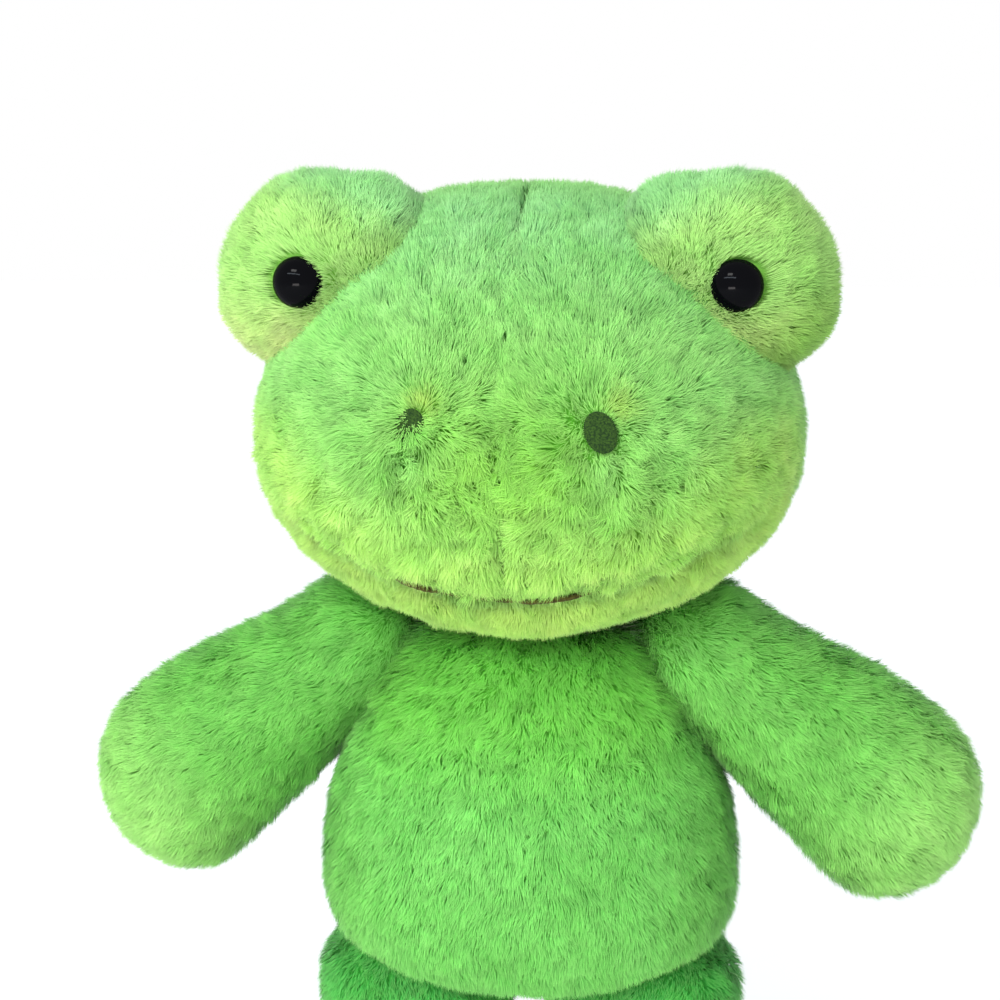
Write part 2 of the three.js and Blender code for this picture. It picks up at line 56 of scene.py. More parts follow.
def ease(values, low, high):    # 0 up to low, 1 from high on, and between them 3t^2 - 2t^3
    share = np.clip((values - low) / (high - low), 0, 1)
    return share * share * (3 - 2 * share)


def bump(values, spread):    # 1 at 0, and to both sides e to the power -(value / spread)^2
    return np.exp(-(values / spread) ** 2)


def powered(values, power):    # the size of a value to a power, with the value's sign
    return np.sign(values) * np.abs(values) ** power


def blended(a, b, share):    # from a towards b by each point's share: a + (b - a) share
    return a + (b - a) * share[:, None]


def circle(columns):    # even turns once round, in radians
    return np.arange(columns) / columns * 2 * math.pi


def turnX(degrees):    # about X: y becomes y cos - z sin, and z becomes y sin + z cos
    c, s = math.cos(math.radians(degrees)), math.sin(math.radians(degrees))
    return np.array([[1, 0, 0], [0, c, -s], [0, s, c]])


def turnY(degrees):    # about Y: x becomes x cos + z sin, and z becomes z cos - x sin
    c, s = math.cos(math.radians(degrees)), math.sin(math.radians(degrees))
    return np.array([[c, 0, s], [0, 1, 0], [-s, 0, c]])


def linear(colour):    # a colour written as on a screen, 0 to 255, as light, by the screen's curve
    share = np.asarray(colour, float) / 255
    return np.where(share <= 0.04045, share / 12.92, ((share + 0.055) / 1.055) ** 2.4)


def lights(colours):    # a table of screen colours, as light
    return {name: linear(colour) for name, colour in colours.items()}


# Repeatable noise in space

# Random numbers from 0 to 1 for each whole-number cell: its numbers times large primes, mixed by
# exclusive or and stirred by shifts and products
def cellValues(cells, seed, count):
    positive, fraction = 0x7FFFFFFF, 0xFFFFFF
    mixed = (cells[:, 0] * 73856093) ^ (cells[:, 1] * 19349663) ^ (cells[:, 2] * 83492791)
    values = []
    for step in range(count):
        h = (mixed + (seed * 7919 + step * 104729)) & positive
        for shift, factor in ((16, 0x45D9F3B), (15, 0x27D4EB2D)):
            h = ((h ^ (h >> shift)) * factor) & positive
        values.append(((h ^ (h >> 13)) & fraction) / fraction)
    return np.stack(values, 1)


# Values from -1 to 1 that run smoothly: the random numbers at the eight corners of a point's cell,
# weighted along each axis by 3t^2 - 2t^3
def smoothValues(points, size, seed, count):
    scaled = points / size
    base = np.floor(scaled).astype(np.int64)
    part = ease(scaled - base, 0, 1)
    total = np.zeros((len(points), count))
    for corner in np.ndindex(2, 2, 2):
        weight = np.ones(len(points))
        for axis in range(3):
            weight *= part[:, axis] if corner[axis] else 1 - part[:, axis]
        total += weight[:, None] * cellValues(base + np.array(corner), seed, count)
    return 2 * total - 1


def smoothNoise(points, size, seed):    # one such value for each point
    return smoothValues(points, size, seed, 1)[:, 0]


# Forms: a table of level rings [level, width, front, back, shift] round an upright axis, each a
# squarish ellipse through the tips of the pile, or as deep under them as the inset says

head = {
    "rise": 93, "drop": 70, "width": 100, "front": 74, "back": 70, "square": 2.25,
    "powers": {"width": (0.8, 0.95), "front": (1.1, 0.45), "back": (0.85, 0.85)},
    "snout": 12, "snoutAt": -0.26, "snoutSpread": 0.61, "sideSeam": 10,
    "centre": pivot["head"] + [0, -4, 67], "bands": 84, "columns": 168,
}
torso = {
    "rise": 102, "drop": 43, "width": 79, "front": 60, "back": 50, "square": 2.15,
    "powers": {"width": (0.7, 0.4), "front": (0.8, 0.55), "back": (0.8, 0.55)}, "sideSeam": 4,
    "centre": np.array([0, pivot["head"][1], pivot["leg_right"][2] + 46]),
    "bands": 60, "columns": 144,
}
bulge = {
    "rise": 39, "drop": 39, "width": 40, "front": 34, "back": 34, "square": 2,
    "powers": {"width": (1, 1), "front": (1, 1), "back": (1, 1)}, "spread": 74,
    "innerFill": 9, "outerTrim": 3.5, "topTrim": 1.0,
    "centre": head["centre"] + [0, -14, 58], "bands": 40, "columns": 84,
}
arm = {    # stations of [depth under the root, width, front, back]
    "root": 30, "stations": [[87, 38, 31, 31]], "length": 121, "floor": 121, "bow": 4,
    "droop": 38.5, "swings": (-40, -10, 20, 50, 80), "bands": [12, 26, 16], "columns": 84,
}
leg = {
    "root": 38.5, "stations": [[49, 32, 32, 32], [78, 39, 72, 33]], "length": 101, "floor": 97,
    "bow": 0, "soleInset": 1.5, "swings": (-20, 15, 50, 85), "bands": [12, 16, 12, 14],
    "columns": 92,
}
shapes = {"head": head, "torso": torso, "bulge": bulge, "arm": arm, "leg": leg}
limbKinds = ("arm", "leg")
coveredDepth = {"seam": 6.5, "joint": 8}    # pile deeper than this in another form is left out


# At latitude a the level is rise times sin a, or drop times sin a below the middle, and a half size
# its greatest times cos a to a power, one above and one below the middle. A snout adds a bump.
def roundRings(form, inset=0):
    latitude = np.linspace(math.pi / 2, -math.pi / 2, form["bands"] + 1)
    rises, cosine = latitude > 0, np.maximum(np.cos(latitude), 0)
    level = np.sin(latitude) * (np.where(rises, form["rise"], form["drop"]) - inset)
    shares = {name: cosine ** np.where(rises, *powers) for name, powers in form["powers"].items()}
    if "snout" in form:
        swell = form["snout"] / form["front"] * cosine
        shares["front"] += swell * bump(latitude - form["snoutAt"], form["snoutSpread"])
    halves = [(form[name] - inset) * shares[name] for name in ("width", "front", "back")]
    return np.stack([level, *halves, 0 * level], 1)


# A limb hangs from its root: a half ball, its stations joined by smooth swells, and an end rounded
# by sin and cos and cut off at the floor. It shifts by its bow times sin^2 of pi level / length.
def limbRings(kind, side):
    limb = shapes[kind]
    root, length, bands = limb["root"], limb["length"], limb["bands"]
    turn = np.linspace(0, math.pi / 2, bands[0] + 1)
    reach = root * np.sin(turn)
    parts = [np.stack([root * np.cos(turn), reach, reach, reach], 1)]
    last = np.array([0, root, root, root])
    for station, count in zip(np.array(limb["stations"]), bands[1:-1]):
        share = np.linspace(0, 1, count + 1)[1:, None]
        ring = last + (station - last) * ease(share, 0, 1)
        level = -(last[0] + (station[0] - last[0]) * share)
        parts.append(np.hstack([level, ring[:, 1:]]))
        last = station
    turn = np.linspace(0, math.pi / 2, bands[-1] + 1)[1:, None]
    parts.append(np.hstack([-last[0] - (length - last[0]) * np.sin(turn), last[1:] * np.cos(turn)]))
    rings = np.vstack(parts)
    bow = sides[side] * limb["bow"] * np.sin(-math.pi * rings[:, 0] / length) ** 2
    shift = np.where(rings[:, 0] < 0, bow, 0)
    rings[:, 0] = np.maximum(rings[:, 0], -limb["floor"])
    return np.hstack([rings, shift[:, None]])


# Where a form stands: a turn and a place. An arm is lifted to its droop, then swung.
def placeOf(kind, side=None, swing=0):
    if kind in limbKinds:
        lift = turnY(-sides[side] * (90 - arm["droop"])) if kind == "arm" else np.eye(3)
        return turnX(-swing) @ lift, pivot[f"{kind}_{side}"]
    away = [sides[side] * bulge["spread"], 0, 0] if kind == "bulge" else [0, 0, 0]
    return np.eye(3), shapes[kind]["centre"] + away


def ringsOf(kind, side):    # the table of rings of a form
    return limbRings(kind, side) if kind in limbKinds else roundRings(shapes[kind])


# How deep points lie inside a form: 1 less their squarish radius across the ring at their level,
# times the lesser half size there, and past an end minus the distance
def depthInside(points, kind, side=None, swing=0):
    rings, square = ringsOf(kind, side), shapes[kind].get("square", 2)
    turn, spot = placeOf(kind, side, swing)
    local = (points - spot) @ turn
    table = rings[np.argsort(rings[:, 0], kind="stable")]
    level = local[:, 2]
    width, front, back, shift = (np.interp(level, table[:, 0], table[:, k]) for k in range(1, 5))
    reach = np.maximum(np.where(local[:, 1] < 0, front, back), 1e-3)
    across = np.abs(local[:, 0] - shift) / np.maximum(width, 1e-3)
    ratio = (across ** square + (np.abs(local[:, 1]) / reach) ** square) ** (1 / square)
    beyond = np.maximum(level - table[-1, 0], table[0, 0] - level)
    inside = (1 - ratio) * np.maximum(np.minimum(width, reach), 1e-3)
    return np.where(beyond > 0, -np.hypot(beyond, np.minimum(inside, 0)), inside)


# A closed surface through rows of rings, rows x columns x 3, with a point at each end
def closedSurface(rows, ends):
    count, columns = rows.shape[:2]
    points = np.vstack([ends[:1], rows.reshape(-1, 3), ends[1:]])
    here = 1 + np.arange(count * columns).reshape(count, columns)
    after = np.roll(here, -1, axis=1)
    faces = [
        np.stack([np.zeros(columns, int), here[0], after[0]], 1),
        np.stack([here[:-1], here[1:], after[1:]], -1).reshape(-1, 3),
        np.stack([here[:-1], after[1:], after[:-1]], -1).reshape(-1, 3),
        np.stack([np.full(columns, len(points) - 1), after[-1], here[-1]], 1),
    ]
    return points, np.vstack(faces)


# The surface of a table of rings: at a turn t round a ring, x is the width times cos t and y the
# depth times sin t, each to the power 2 / square
def ringSurface(rings, square, columns):
    turn = circle(columns)
    across, along = powered(np.cos(turn), 2 / square), powered(np.sin(turn), 2 / square)
    inner = rings[1:-1, :, None]
    reach = np.where(along < 0, inner[:, 2], inner[:, 3]) * along
    rows = np.stack([inner[:, 1] * across + inner[:, 4], reach, inner[:, 0] + 0 * reach], -1)
    return closedSurface(rows, np.array([[0, 0, rings[0, 0]], [rings[-1, 4], 0, rings[-1, 0]]]))


# For each triangle, the cross product of two of its sides: square to it, and twice its area long
def crosses(points, faces):
    corner = points[faces]
    return np.cross(corner[:, 1] - corner[:, 0], corner[:, 2] - corner[:, 0])


def surfaceNormals(points, faces):    # at each point, the sum of its triangles' crosses, made unit
    across = crosses(points, faces)
    total = np.zeros_like(points)
    for k in range(3):
        for axis in range(3):
            total[:, axis] += np.bincount(faces[:, k], across[:, axis], len(points))
    return unit(total)


# The backing of a form: each point goes in along its normal by the depth of the pile, less the
# form's relief there. The sole lies flat, nearer the floor.
def backed(kind, side=None, relief=None):
    form = shapes[kind]
    points, faces = ringSurface(ringsOf(kind, side), form.get("square", 2), form["columns"])
    raised = relief(points) if relief else np.zeros(len(points))
    sunk = points + surfaceNormals(points, faces) * (raised - backingDepth)[:, None]
    normals = surfaceNormals(sunk, faces)
    if kind == "leg":
        sunk[points[:, 2] <= -leg["floor"] + 1e-6, 2] = -leg["floor"] + leg["soleInset"]
    return sunk, faces, normals, placeOf(kind, side)


# Meshes

# One object of triangles, from millimetres to metres, with a normal at each point and, for pile,
# each point's colour and its place on the map that the colours are baked on
def addMesh(name, points, faces, normals, material, colours=None, places=None):
    mesh = bpy.data.meshes.new(name)
    mesh.vertices.add(len(points))
    mesh.vertices.foreach_set("co", (points * mm).astype(np.float32).ravel())
    mesh.loops.add(faces.size)
    mesh.loops.foreach_set("vertex_index", faces.astype(np.int32).ravel())
    mesh.polygons.add(len(faces))
    mesh.polygons.foreach_set("loop_start", np.arange(0, faces.size, 3, dtype=np.int32))
    mesh.update(calc_edges=True)
    soft = mesh.attributes.new("custom_normal", "FLOAT_VECTOR", "POINT")
    soft.data.foreach_set("vector", normals.astype(np.float32).ravel())
    if colours is not None:
        layer = mesh.color_attributes.new("pileColour", "FLOAT_COLOR", "POINT")
        full = np.hstack([colours, np.ones((len(colours), 1))])
        layer.data.foreach_set("color", full.astype(np.float32).ravel())
    if places is not None:
        layer = mesh.uv_layers.new(name="OFBake")
        layer.data.foreach_set("uv", places[faces.ravel()].astype(np.float32).ravel())
    mesh.materials.append(material)
    made = bpy.data.objects.new(name, mesh)
    bpy.context.scene.collection.objects.link(made)
    return made


# One hard or stitched piece from its rows of rings, turned right side out: its volume is the sum of
# a corner times the cross over its triangles
def addSmall(body, node, look, rows, material):
    points, faces = closedSurface(rows, rows[[0, -1]].mean(1))
    if np.sum(points[faces[:, 0]] * crosses(points, faces)) < 0:
        faces = faces[:, ::-1]
    made = addMesh(f"{node}_{look}", points, faces, surfaceNormals(points, faces), material)
    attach(made, body)
    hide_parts(node)
    print(f"{made.name}: {len(faces)} triangles")


# Strands: each is a kite of two triangles, widest half way up. At a share s of its length L it is
# s L cos(lean) above its root and s L sin(lean) along the lay, where the lean grows with s.

stations = np.array([0, 0.5, 1])
kiteFaces = np.array([[0, 2, 1], [1, 2, 3]])
leastReach = 0.02    # pile shorter than this share isn't grown
backingDepth = 5.2    # of the backing, below the tips of the pile

basicCoat = {    # millimetres, degrees, strands to a square millimetre and shares
    "density": 4.8, "length": 7.0, "width": 0.36, "widthSpread": 0.25, "lean": (20, 47),
    "leanSpread": 11, "leanMost": 86, "spread": 24, "uneven": 0.15, "curl": 0.18, "rooted": 1.0,
    "twist": 30, "softness": 0.82, "wave": 30, "waveSize": 9,
    "tuftSize": 4.0, "tuftLean": 13, "tuftSpread": 30, "tuftUneven": 0.12, "tuftDrift": 2.4,
    # the tuft tint is painted shade, darker on shorter tufts
    "lockSize": 1.8, "lockDrift": 1.1, "tint": 0.07, "lockTint": 0.07, "tuftPaintedShade": 0.16,
    # the root shade is painted shade deep in the pile
    "rootShade": np.array([0.64, 0.83, 0.44]), "shades": (0.95, 1.1),
    "tipColour": linear((205, 245, 150)), "tipShare": 0.2, "floorGap": 0.3,
}


def coatOf(**changes):    # the basic coat with some of its values changed
    return {**basicCoat, **changes}


softRoots = np.array([0.82, 0.93, 0.66])    # of the torso and limbs: less shade sits in the pile
faceCoat = coatOf(density=4.6, tint=0.1, lockTint=0.11, rootShade=np.array([0.58, 0.79, 0.37]),
                  shades=(0.87, 1.17), tipShare=0.28, lockDrift=1.5)
bulgeCoat = coatOf(length=6.8, tint=0.1, lockTint=0.1, rootShade=np.array([0.6, 0.8, 0.4]),
                   shades=(0.9, 1.15))
bellyCoat = coatOf(density=3.5, rootShade=softRoots)
armCoat = coatOf(density=3.8, width=0.34, rootShade=softRoots)
legCoat = coatOf(density=3.0, width=0.38, rootShade=softRoots)
backCoat = coatOf(density=2.0, width=0.45, rootShade=softRoots)
soleCoat = coatOf(density=1.6, length=4, lean=(70, 84), leanSpread=4, tuftLean=3, rooted=0,
                  uneven=0.1)


# The four points of each strand about its line: the width lies level with the fabric and square to
# the line, twisted by chance. The normals are the fabric's by the softness, and else the blade's.
def strandBlades(line, normals, twist, width, softness):
    along = [line[:, 1] - line[:, 0], line[:, 2] - line[:, 0], line[:, 2] - line[:, 1]]
    along = unit(np.stack(along, 1))
    level = unit(np.cross(along, normals[:, None]))
    broad = level * np.cos(twist) + np.cross(level, along) * np.sin(twist)
    half = 0.5 * width[:, None] * broad[:, 1]
    points = np.stack([line[:, 0], line[:, 1] - half, line[:, 1] + half, line[:, 2]], 1)
    blade = np.cross(broad, along)[:, [0, 1, 1, 2]]
    return points, unit(normals[:, None] * softness + blade * (1 - softness))


# The colours of its points: the root is the shade times the root shade, painted shade deep in the
# pile, the body the shade times middle + tint, and the tip, nearer the tip colour, times pale +
# tint. Part of the tint is painted shade on short tufts. Last, how pale it is of all.
def strandColours(shade, tint, coat):
    middle, pale = coat["shades"]
    body = shade * (middle + tint)[:, None]
    tip = (shade + (coat["tipColour"] - shade) * coat["tipShare"]) * (pale + tint)[:, None]
    colours = np.stack([shade * coat["rootShade"], body, body, tip], 1)
    most = coat["tint"] + coat["lockTint"] + 0.5 * coat["tuftPaintedShade"]
    return np.clip(colours, 0, 1), 0.5 + 0.42 * np.clip(tint / most, -1, 1)


# The lay is swirled by chance, by tuft and in waves, length and lean vary by chance and by tuft,
# and tufts and the smaller locks drift together along the fabric
def growPile(roots, normals, lay, reach, mess, shade, tilt, coat, seed):
    dice = np.random.default_rng(seed)
    chance = 2 * dice.random((len(roots), 6)).T - 1
    chanceTint = 2 * dice.random(len(roots)) - 1
    tuft = smoothValues(roots, coat["tuftSize"], seed, 6)
    lock = smoothValues(roots, coat["lockSize"], seed + 1, 5)
    wave = smoothNoise(roots, coat["waveSize"], seed + 2)
    swirl = coat["spread"] * chance[0] + coat["tuftSpread"] * tuft[:, 3] + coat["wave"] * wave
    swirl = np.radians(swirl * mess)[:, None]
    lay = lay * np.cos(swirl) + np.cross(normals, lay) * np.sin(swirl)
    side = np.cross(normals, lay)
    length = coat["length"] * reach * (1 + coat["uneven"] * chance[1]
                                       + coat["tuftUneven"] * mess * tuft[:, 4])
    wobble = coat["leanSpread"] * chance[2] + coat["tuftLean"] * tuft[:, 5] * mess
    curl = coat["curl"] * mess * (lock[:, 3] + 0.5 * chance[3])
    drift = coat["tuftDrift"] * tuft[:, :3] + coat["lockDrift"] * lock[:, :3]
    drift *= (mess * reach)[:, None]
    drift -= normals * np.sum(drift * normals, axis=1)[:, None]
    leanRoot, leanTip = coat["lean"]
    line = []
    for share in stations:
        lean = leanRoot + (leanTip - leanRoot + wobble) * share
        lean = np.radians(np.clip(lean * tilt, 0, coat["leanMost"]))
        up = share * np.cos(lean) * length - coat["rooted"] * (share == 0)
        over = share * np.sin(lean) * length
        aside = curl * share ** 2 * length
        line.append(roots + normals * up[:, None] + lay * over[:, None] + side * aside[:, None]
                    + drift * share ** 1.5)
    twist = np.radians(coat["twist"] * chance[4])[:, None, None]
    width = coat["width"] * (1 + coat["widthSpread"] * chance[5])
    points, soft = strandBlades(np.stack(line, 1), normals, twist, width, coat["softness"])
    tint = (coat["tint"] * chanceTint + coat["lockTint"] * lock[:, 4]
            + coat["tuftPaintedShade"] * mess * tuft[:, 4])    # painted shade: short tufts are darker, as they lie in shade
    colours, drawn = strandColours(shade, tint, coat)
    return points, soft, colours, drawn


# The map that the pile's colours are baked on: cells for the strands, and a strip for the backing

bakeMap = {
    "cells": 26, "backingShare": 0.08, "edge": 0.06, "tintShare": 0.8, "strandWide": 0.08,
    "stripLeft": 0.01, "stripLow": 0.05,
}


def panelShare(points, low, high):    # from 0 to 1 along the two longest sides of the panel's box
    share = np.clip((points - low) / np.maximum(high - low, 1e-6), 0, 1)
    return share[:, np.argsort(-(high - low))[:2]].T


# A strand lands in a cell by its root's place, across it by how pale it is, and up it from root to
# tip
def strandPlaces(roots, drawn, low, high):
    cells, edge = bakeMap["cells"], bakeMap["edge"]
    column, row = np.minimum(np.floor(panelShare(roots, low, high) * cells), cells - 1)
    across = (column + edge + bakeMap["tintShare"] * drawn) / cells
    over = across[:, None] + bakeMap["strandWide"] / cells * np.array([0.5, 0, 1, 0.5])
    up = (row[:, None] + np.array([edge, 0.5, 0.5, 1 - edge])) / cells
    return np.stack([over, up * (1 - bakeMap["backingShare"])], -1)


def backingPlaces(points, low, high):    # the strip above the cells, less a margin on each side
    over, up = panelShare(points, low, high)
    share, left, lowest = bakeMap["backingShare"], bakeMap["stripLeft"], bakeMap["stripLow"]
    over = left + (1 - 2 * left) * over
    up = 1 - share + share * (lowest + (1 - 2 * lowest) * up)
    return np.stack([over, up], 1)


# Roots spread evenly: a triangle is drawn by its area, and a place in it by two chances, which are
# folded back where their sum passes 1
def scattered(points, normals, faces, density, dice):
    area = 0.5 * np.linalg.norm(crosses(points, faces), axis=1)
    wanted = int(area.sum() * density)
    chosen = faces[np.searchsorted(np.cumsum(area), dice.random(wanted) * area.sum())]
    weight = dice.random((wanted, 2))
    weight = np.where(weight.sum(1, keepdims=True) > 1, 1 - weight, weight)
    weight = np.stack([1 - weight.sum(1), weight[:, 0], weight[:, 1]], 1)[..., None]
    return (points[chosen] * weight).sum(1), unit((normals[chosen] * weight).sum(1))


# One panel of fabric: the faces of the form that are its own, and the pile on them. The fields give
# at each root the lay, the share of the full length, how messy it is, the shade and the tilt.
def addPanel(body, form, fields, hidden, seed, nodes, coat, mine):
    points, faces, normals, (turn, spot) = form
    kept = faces[mine(points[faces].mean(1))]
    used, small = np.unique(kept, return_inverse=True)
    patch, patchFaces = points[used], small.reshape(-1, 3)
    roots, above = scattered(points, normals, kept, coat["density"], np.random.default_rng(seed))
    shown = ~hidden(roots @ turn.T + spot)
    roots, above = roots[shown], above[shown]
    values = [roots, above, *fields(roots)]
    shown = values[3] > leastReach
    roots, above, lay, reach, mess, shade, tilt = (value[shown] for value in values)
    lay = unit(lay - above * np.sum(lay * above, axis=1)[:, None])
    grown = growPile(roots, above, lay, reach, mess, shade, tilt, coat, seed)
    strands, soft, colours, drawn = grown
    low, high = patch.min(0), patch.max(0)
    strandFaces = (kiteFaces[None] + 4 * np.arange(len(roots))[:, None, None]).reshape(-1, 3)
    # the backing takes the root shade, painted shade deep in the pile
    under = fields(patch)[3] * coat["rootShade"]
    allPoints = np.vstack([patch, strands.reshape(-1, 3)]) @ turn.T + spot
    allPoints[:, 2] = np.maximum(allPoints[:, 2], coat["floorGap"])    # pile splays on the floor
    allNormals = np.vstack([normals[used], soft.reshape(-1, 3)]) @ turn.T
    allFaces = np.vstack([patchFaces, strandFaces + len(patch)])
    allColours = np.vstack([under, colours.reshape(-1, 3)])
    allPlaces = np.vstack([backingPlaces(patch, low, high),
                           strandPlaces(roots, drawn, low, high).reshape(-1, 2)])
    name = f"{nodes[0]}_pile"
    made = addMesh(name, allPoints, allFaces, allNormals, pileMaterial(), allColours, allPlaces)
    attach(made, body)
    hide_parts(*nodes)
    print(f"{name}: {len(roots)} strands, {len(allFaces)} triangles")


# All panels of one form, each with its nodes, its coat and which of the faces are its own
def addPanels(body, form, fields, hidden, seeds, panels):
    for seed, panel in zip(seeds, panels):
        addPanel(body, form, fields, hidden, seed, *panel)


# Uneven dye and nap: patches where red and blue swing more than green, at three sizes of noise
def patched(shade, points, seed, strength=1.0):
    swing = 0.6 * smoothNoise(points, 7.5, seed) + 0.45 * smoothNoise(points, 3.4, seed + 60)
    swing += 0.5 * smoothNoise(points, 19, seed + 30)
    return shade * (1 + (strength * swing)[:, None] * np.array([0.2, 0.09, 0.22]))


# Materials: each is made once and shared

def link(source, target):    # in the tree that both are in
    target.id_data.links.new(source, target)


def addNode(tree, kind, **values):    # one node, with constants on its sockets
    node = tree.nodes.new(f"ShaderNode{kind}")
    setSockets(node, values)
    return node


def setSockets(node, values):    # a word's underscores stand for spaces in the socket's name
    for socket, value in values.items():
        node.inputs[socket.replace("_", " ")].default_value = value


def newMaterial(name, colour, **values):    # one Principled shader, with constants on its sockets
    material = bpy.data.materials.new(name)
    material.use_nodes = True
    shader = material.node_tree.nodes["Principled BSDF"]
    setSockets(shader, {"Base Color": (*colour, 1), **values})
    return material, material.node_tree, shader


def addNoise(tree, scale, detail=2):    # noise from 0 to 1 over the object's own coordinates
    noise = addNode(tree, "TexNoise", Scale=scale, Detail=detail)
    link(addNode(tree, "TexCoord").outputs["Object"], noise.inputs["Vector"])
    return noise.outputs["Fac"]


def addDents(tree, shader, height, strength, distance):    # the normal tilted by the height's slope
    dent = addNode(tree, "Bump", Strength=strength, Distance=distance)
    link(height, dent.inputs["Height"])
    link(dent.outputs["Normal"], shader.inputs["Normal"])


@functools.cache
def pileMaterial():    # the strand's colour, painted shade included, times fine noise
    material, tree, shader = newMaterial(
        "pile", (0.3, 0.6, 0.2), Roughness=0.62, Sheen_Weight=0.35, Sheen_Roughness=0.45,
        Sheen_Tint=(0.85, 1, 0.7, 1), Specular_IOR_Level=0.25)
    colour = addNode(tree, "Attribute")
    colour.attribute_name = "pileColour"
    span = addNode(tree, "MapRange", To_Min=0.86, To_Max=1.14)
    mix = addNode(tree, "VectorMath")
    mix.operation = "SCALE"
    link(addNoise(tree, 260, 3), span.inputs["Value"])
    link(colour.outputs["Color"], mix.inputs[0])
    link(span.outputs["Result"], mix.inputs["Scale"])
    link(mix.outputs["Vector"], shader.inputs["Base Color"])
    return material


@functools.cache
def glossMaterial():    # hard black plastic with faint moulding unevenness
    material, tree, shader = newMaterial("eyeBlack", (0.002, 0.002, 0.003), Roughness=0.06,
                                         Specular_IOR_Level=0.045)
    addDents(tree, shader, addNoise(tree, 140), 0.05, 0.0002)
    return material


mottles = {    # the dark and the pale colour, as light, the noise's scale, roughness and sheen
    "threadOlive": (linear((20, 48, 8)), linear((62, 96, 26)), 1500, 0.85, 0.06),
    "threadBrown": (linear((62, 58, 14)), linear((104, 96, 34)), 700, 0.85, 0.08),
    "threadGreen": (linear((86, 168, 66)), linear((126, 204, 96)), 900, 0.75, 0.3),
    "washerWhite": ((0.72, 0.72, 0.68), (0.8, 0.8, 0.76), 300, 0.5, 0.3),
}


@functools.cache
def mottledMaterial(name):    # from dark to pale by noise, which also dents it
    dark, pale, scale, roughness, sheen = mottles[name]
    material, tree, shader = newMaterial(name, dark, Roughness=roughness, Sheen_Weight=sheen,
                                         Specular_IOR_Level=0.3)
    noise, ramp = addNoise(tree, scale, 4), addNode(tree, "ValToRGB")
    for element, place, colour in zip(ramp.color_ramp.elements, (0.38, 0.72), (dark, pale)):
        element.position, element.color = place, (*colour, 1)
    link(noise, ramp.inputs["Fac"])
    link(ramp.outputs["Color"], shader.inputs["Base Color"])
    addDents(tree, shader, noise, 0.4, 0.0003)
    return material


# Small forms

# A two-ply thread along a path: at each point the ring's radius swells twice round it, and the
# swell turns with the length. The ends are rounded by a square root.
def twistedThread(path, radius, pitch, columns):
    along = unit(np.gradient(path, axis=0))
    run = np.concatenate([[0], np.cumsum(np.linalg.norm(np.diff(path, axis=0), axis=1))])
    up = unit(np.cross(along, np.array([0.0, 1, 0.02])))
    aside = np.cross(along, up)
    turn = circle(columns)
    swell = 0.8 + 0.2 * np.abs(np.cos(turn[None] - run[:, None] * math.pi / pitch))
    taper = np.sqrt(np.clip(np.minimum(run, run[-1] - run) / radius, 0.04, 1))
    size = (radius * swell * taper[:, None])[..., None]
    return path[:, None] + size * (up[:, None] * np.cos(turn)[None, :, None]
                                   + aside[:, None] * np.sin(turn)[None, :, None])


def axesOn(out):    # level across a surface, and up along it, both square to its normal
    across = unit(np.cross([0, 0, 1.0], out))
    return across, np.cross(out, across)


# Head

face = {
    "mouthBelow": 50, "mouthRise": 45, "mouthWidth": 100, "mouthEnds": (62, 90),
    "lip": 1.4, "lipAbove": 11, "lipWide": 9, "crease": 3.6, "creaseWide": 2.4, "jawIn": 0.3,
    "seam": 0.4, "seamWide": 2.8, "crownSeam": 3.8, "crownIn": 1.8, "lipSeam": 4.0,
    "lipSeamAt": -36, "crownAt": (62, 80), "muzzleSwell": 0.9, "nostrilSpread": 33,
    "nostrilAbove": 11,
}
mouth = {
    "halfSpan": 58, "radius": 1.1, "depth": 4.4, "rise": 2.2, "pitch": 2.6, "steps": 260,
    "columns": 12, "shown": ((-38, -26), (5, 24)), "shownEdge": 3,
}
# Round each nostril the form has a dent. The pile starts at the clear radius, at its least length,
# and is full at the grown one. The left nostril is hidden in it but for a slot near its top.
openings = {
    "right": {"at": (33, 11), "dent": 2.4, "dentWide": 9, "clear": 5, "grown": 14, "least": 0.5},
    "left": {"at": (-31, 16), "dent": 1.8, "dentWide": 3.5, "clear": 2, "grown": 3.5, "least": 0.9},
}
headColours = lights({
    "brow": (142, 217, 110), "crown": (140, 218, 134), "nose": (140, 211, 65),
    "cheek": (190, 233, 98), "muzzle": (172, 232, 94), "jaw": (194, 240, 104),
    "back": (138, 216, 108), "nostrilTuft": (200, 216, 70),
})
# Where the colours of the head lie, by levels, widths and spreads
headRegions = {
    "crownUp": (30, 85), "noseLevel": -5, "noseHigh": 30, "noseWide": 45, "cheekOut": (48, 88),
    "cheekDown": (-25, 20), "lipOver": 10, "lipHigh": 18,
}
# Painted shade in the creases: how much darker, and how wide, at the smile, where its thread is
# bare, and at the seam
headShadows = {
    "smile": 0.34, "bare": 0.26, "above": 1.6, "below": 2.4, "seam": 0.42, "seamWide": 1.8,
}
# How much shorter it is on the jaw, above and below the smile, and more where its thread is bare,
# along the centre seam at the crown and the lip, and at the bulges
headCuts = {
    "jaw": 0.08, "above": 0.5, "aboveBare": 0.3, "aboveHigh": 3, "below": 0.55, "belowBare": 0.25,
    "belowHigh": 2.6, "crownSeam": 0.25, "lipSeam": 0.4, "seamWide": 2, "bulge": 0.25,
}
# A colour off each nostril by X and Z, its share and how far it spreads
nostrilTints = (("nostrilTuft", 5, 8, 0.4, 4.5), ("crown", 1, -11, 0.2, 6))


def mouthLevel(x):    # a parabola: its rise times (x / width)^2, from its lowest level
    return -face["mouthBelow"] + face["mouthRise"] * (x / face["mouthWidth"]) ** 2


def mouthEnds(x):    # 1 along the smile, falling to 0 past its ends
    return 1 - ease(np.abs(x), *face["mouthEnds"])


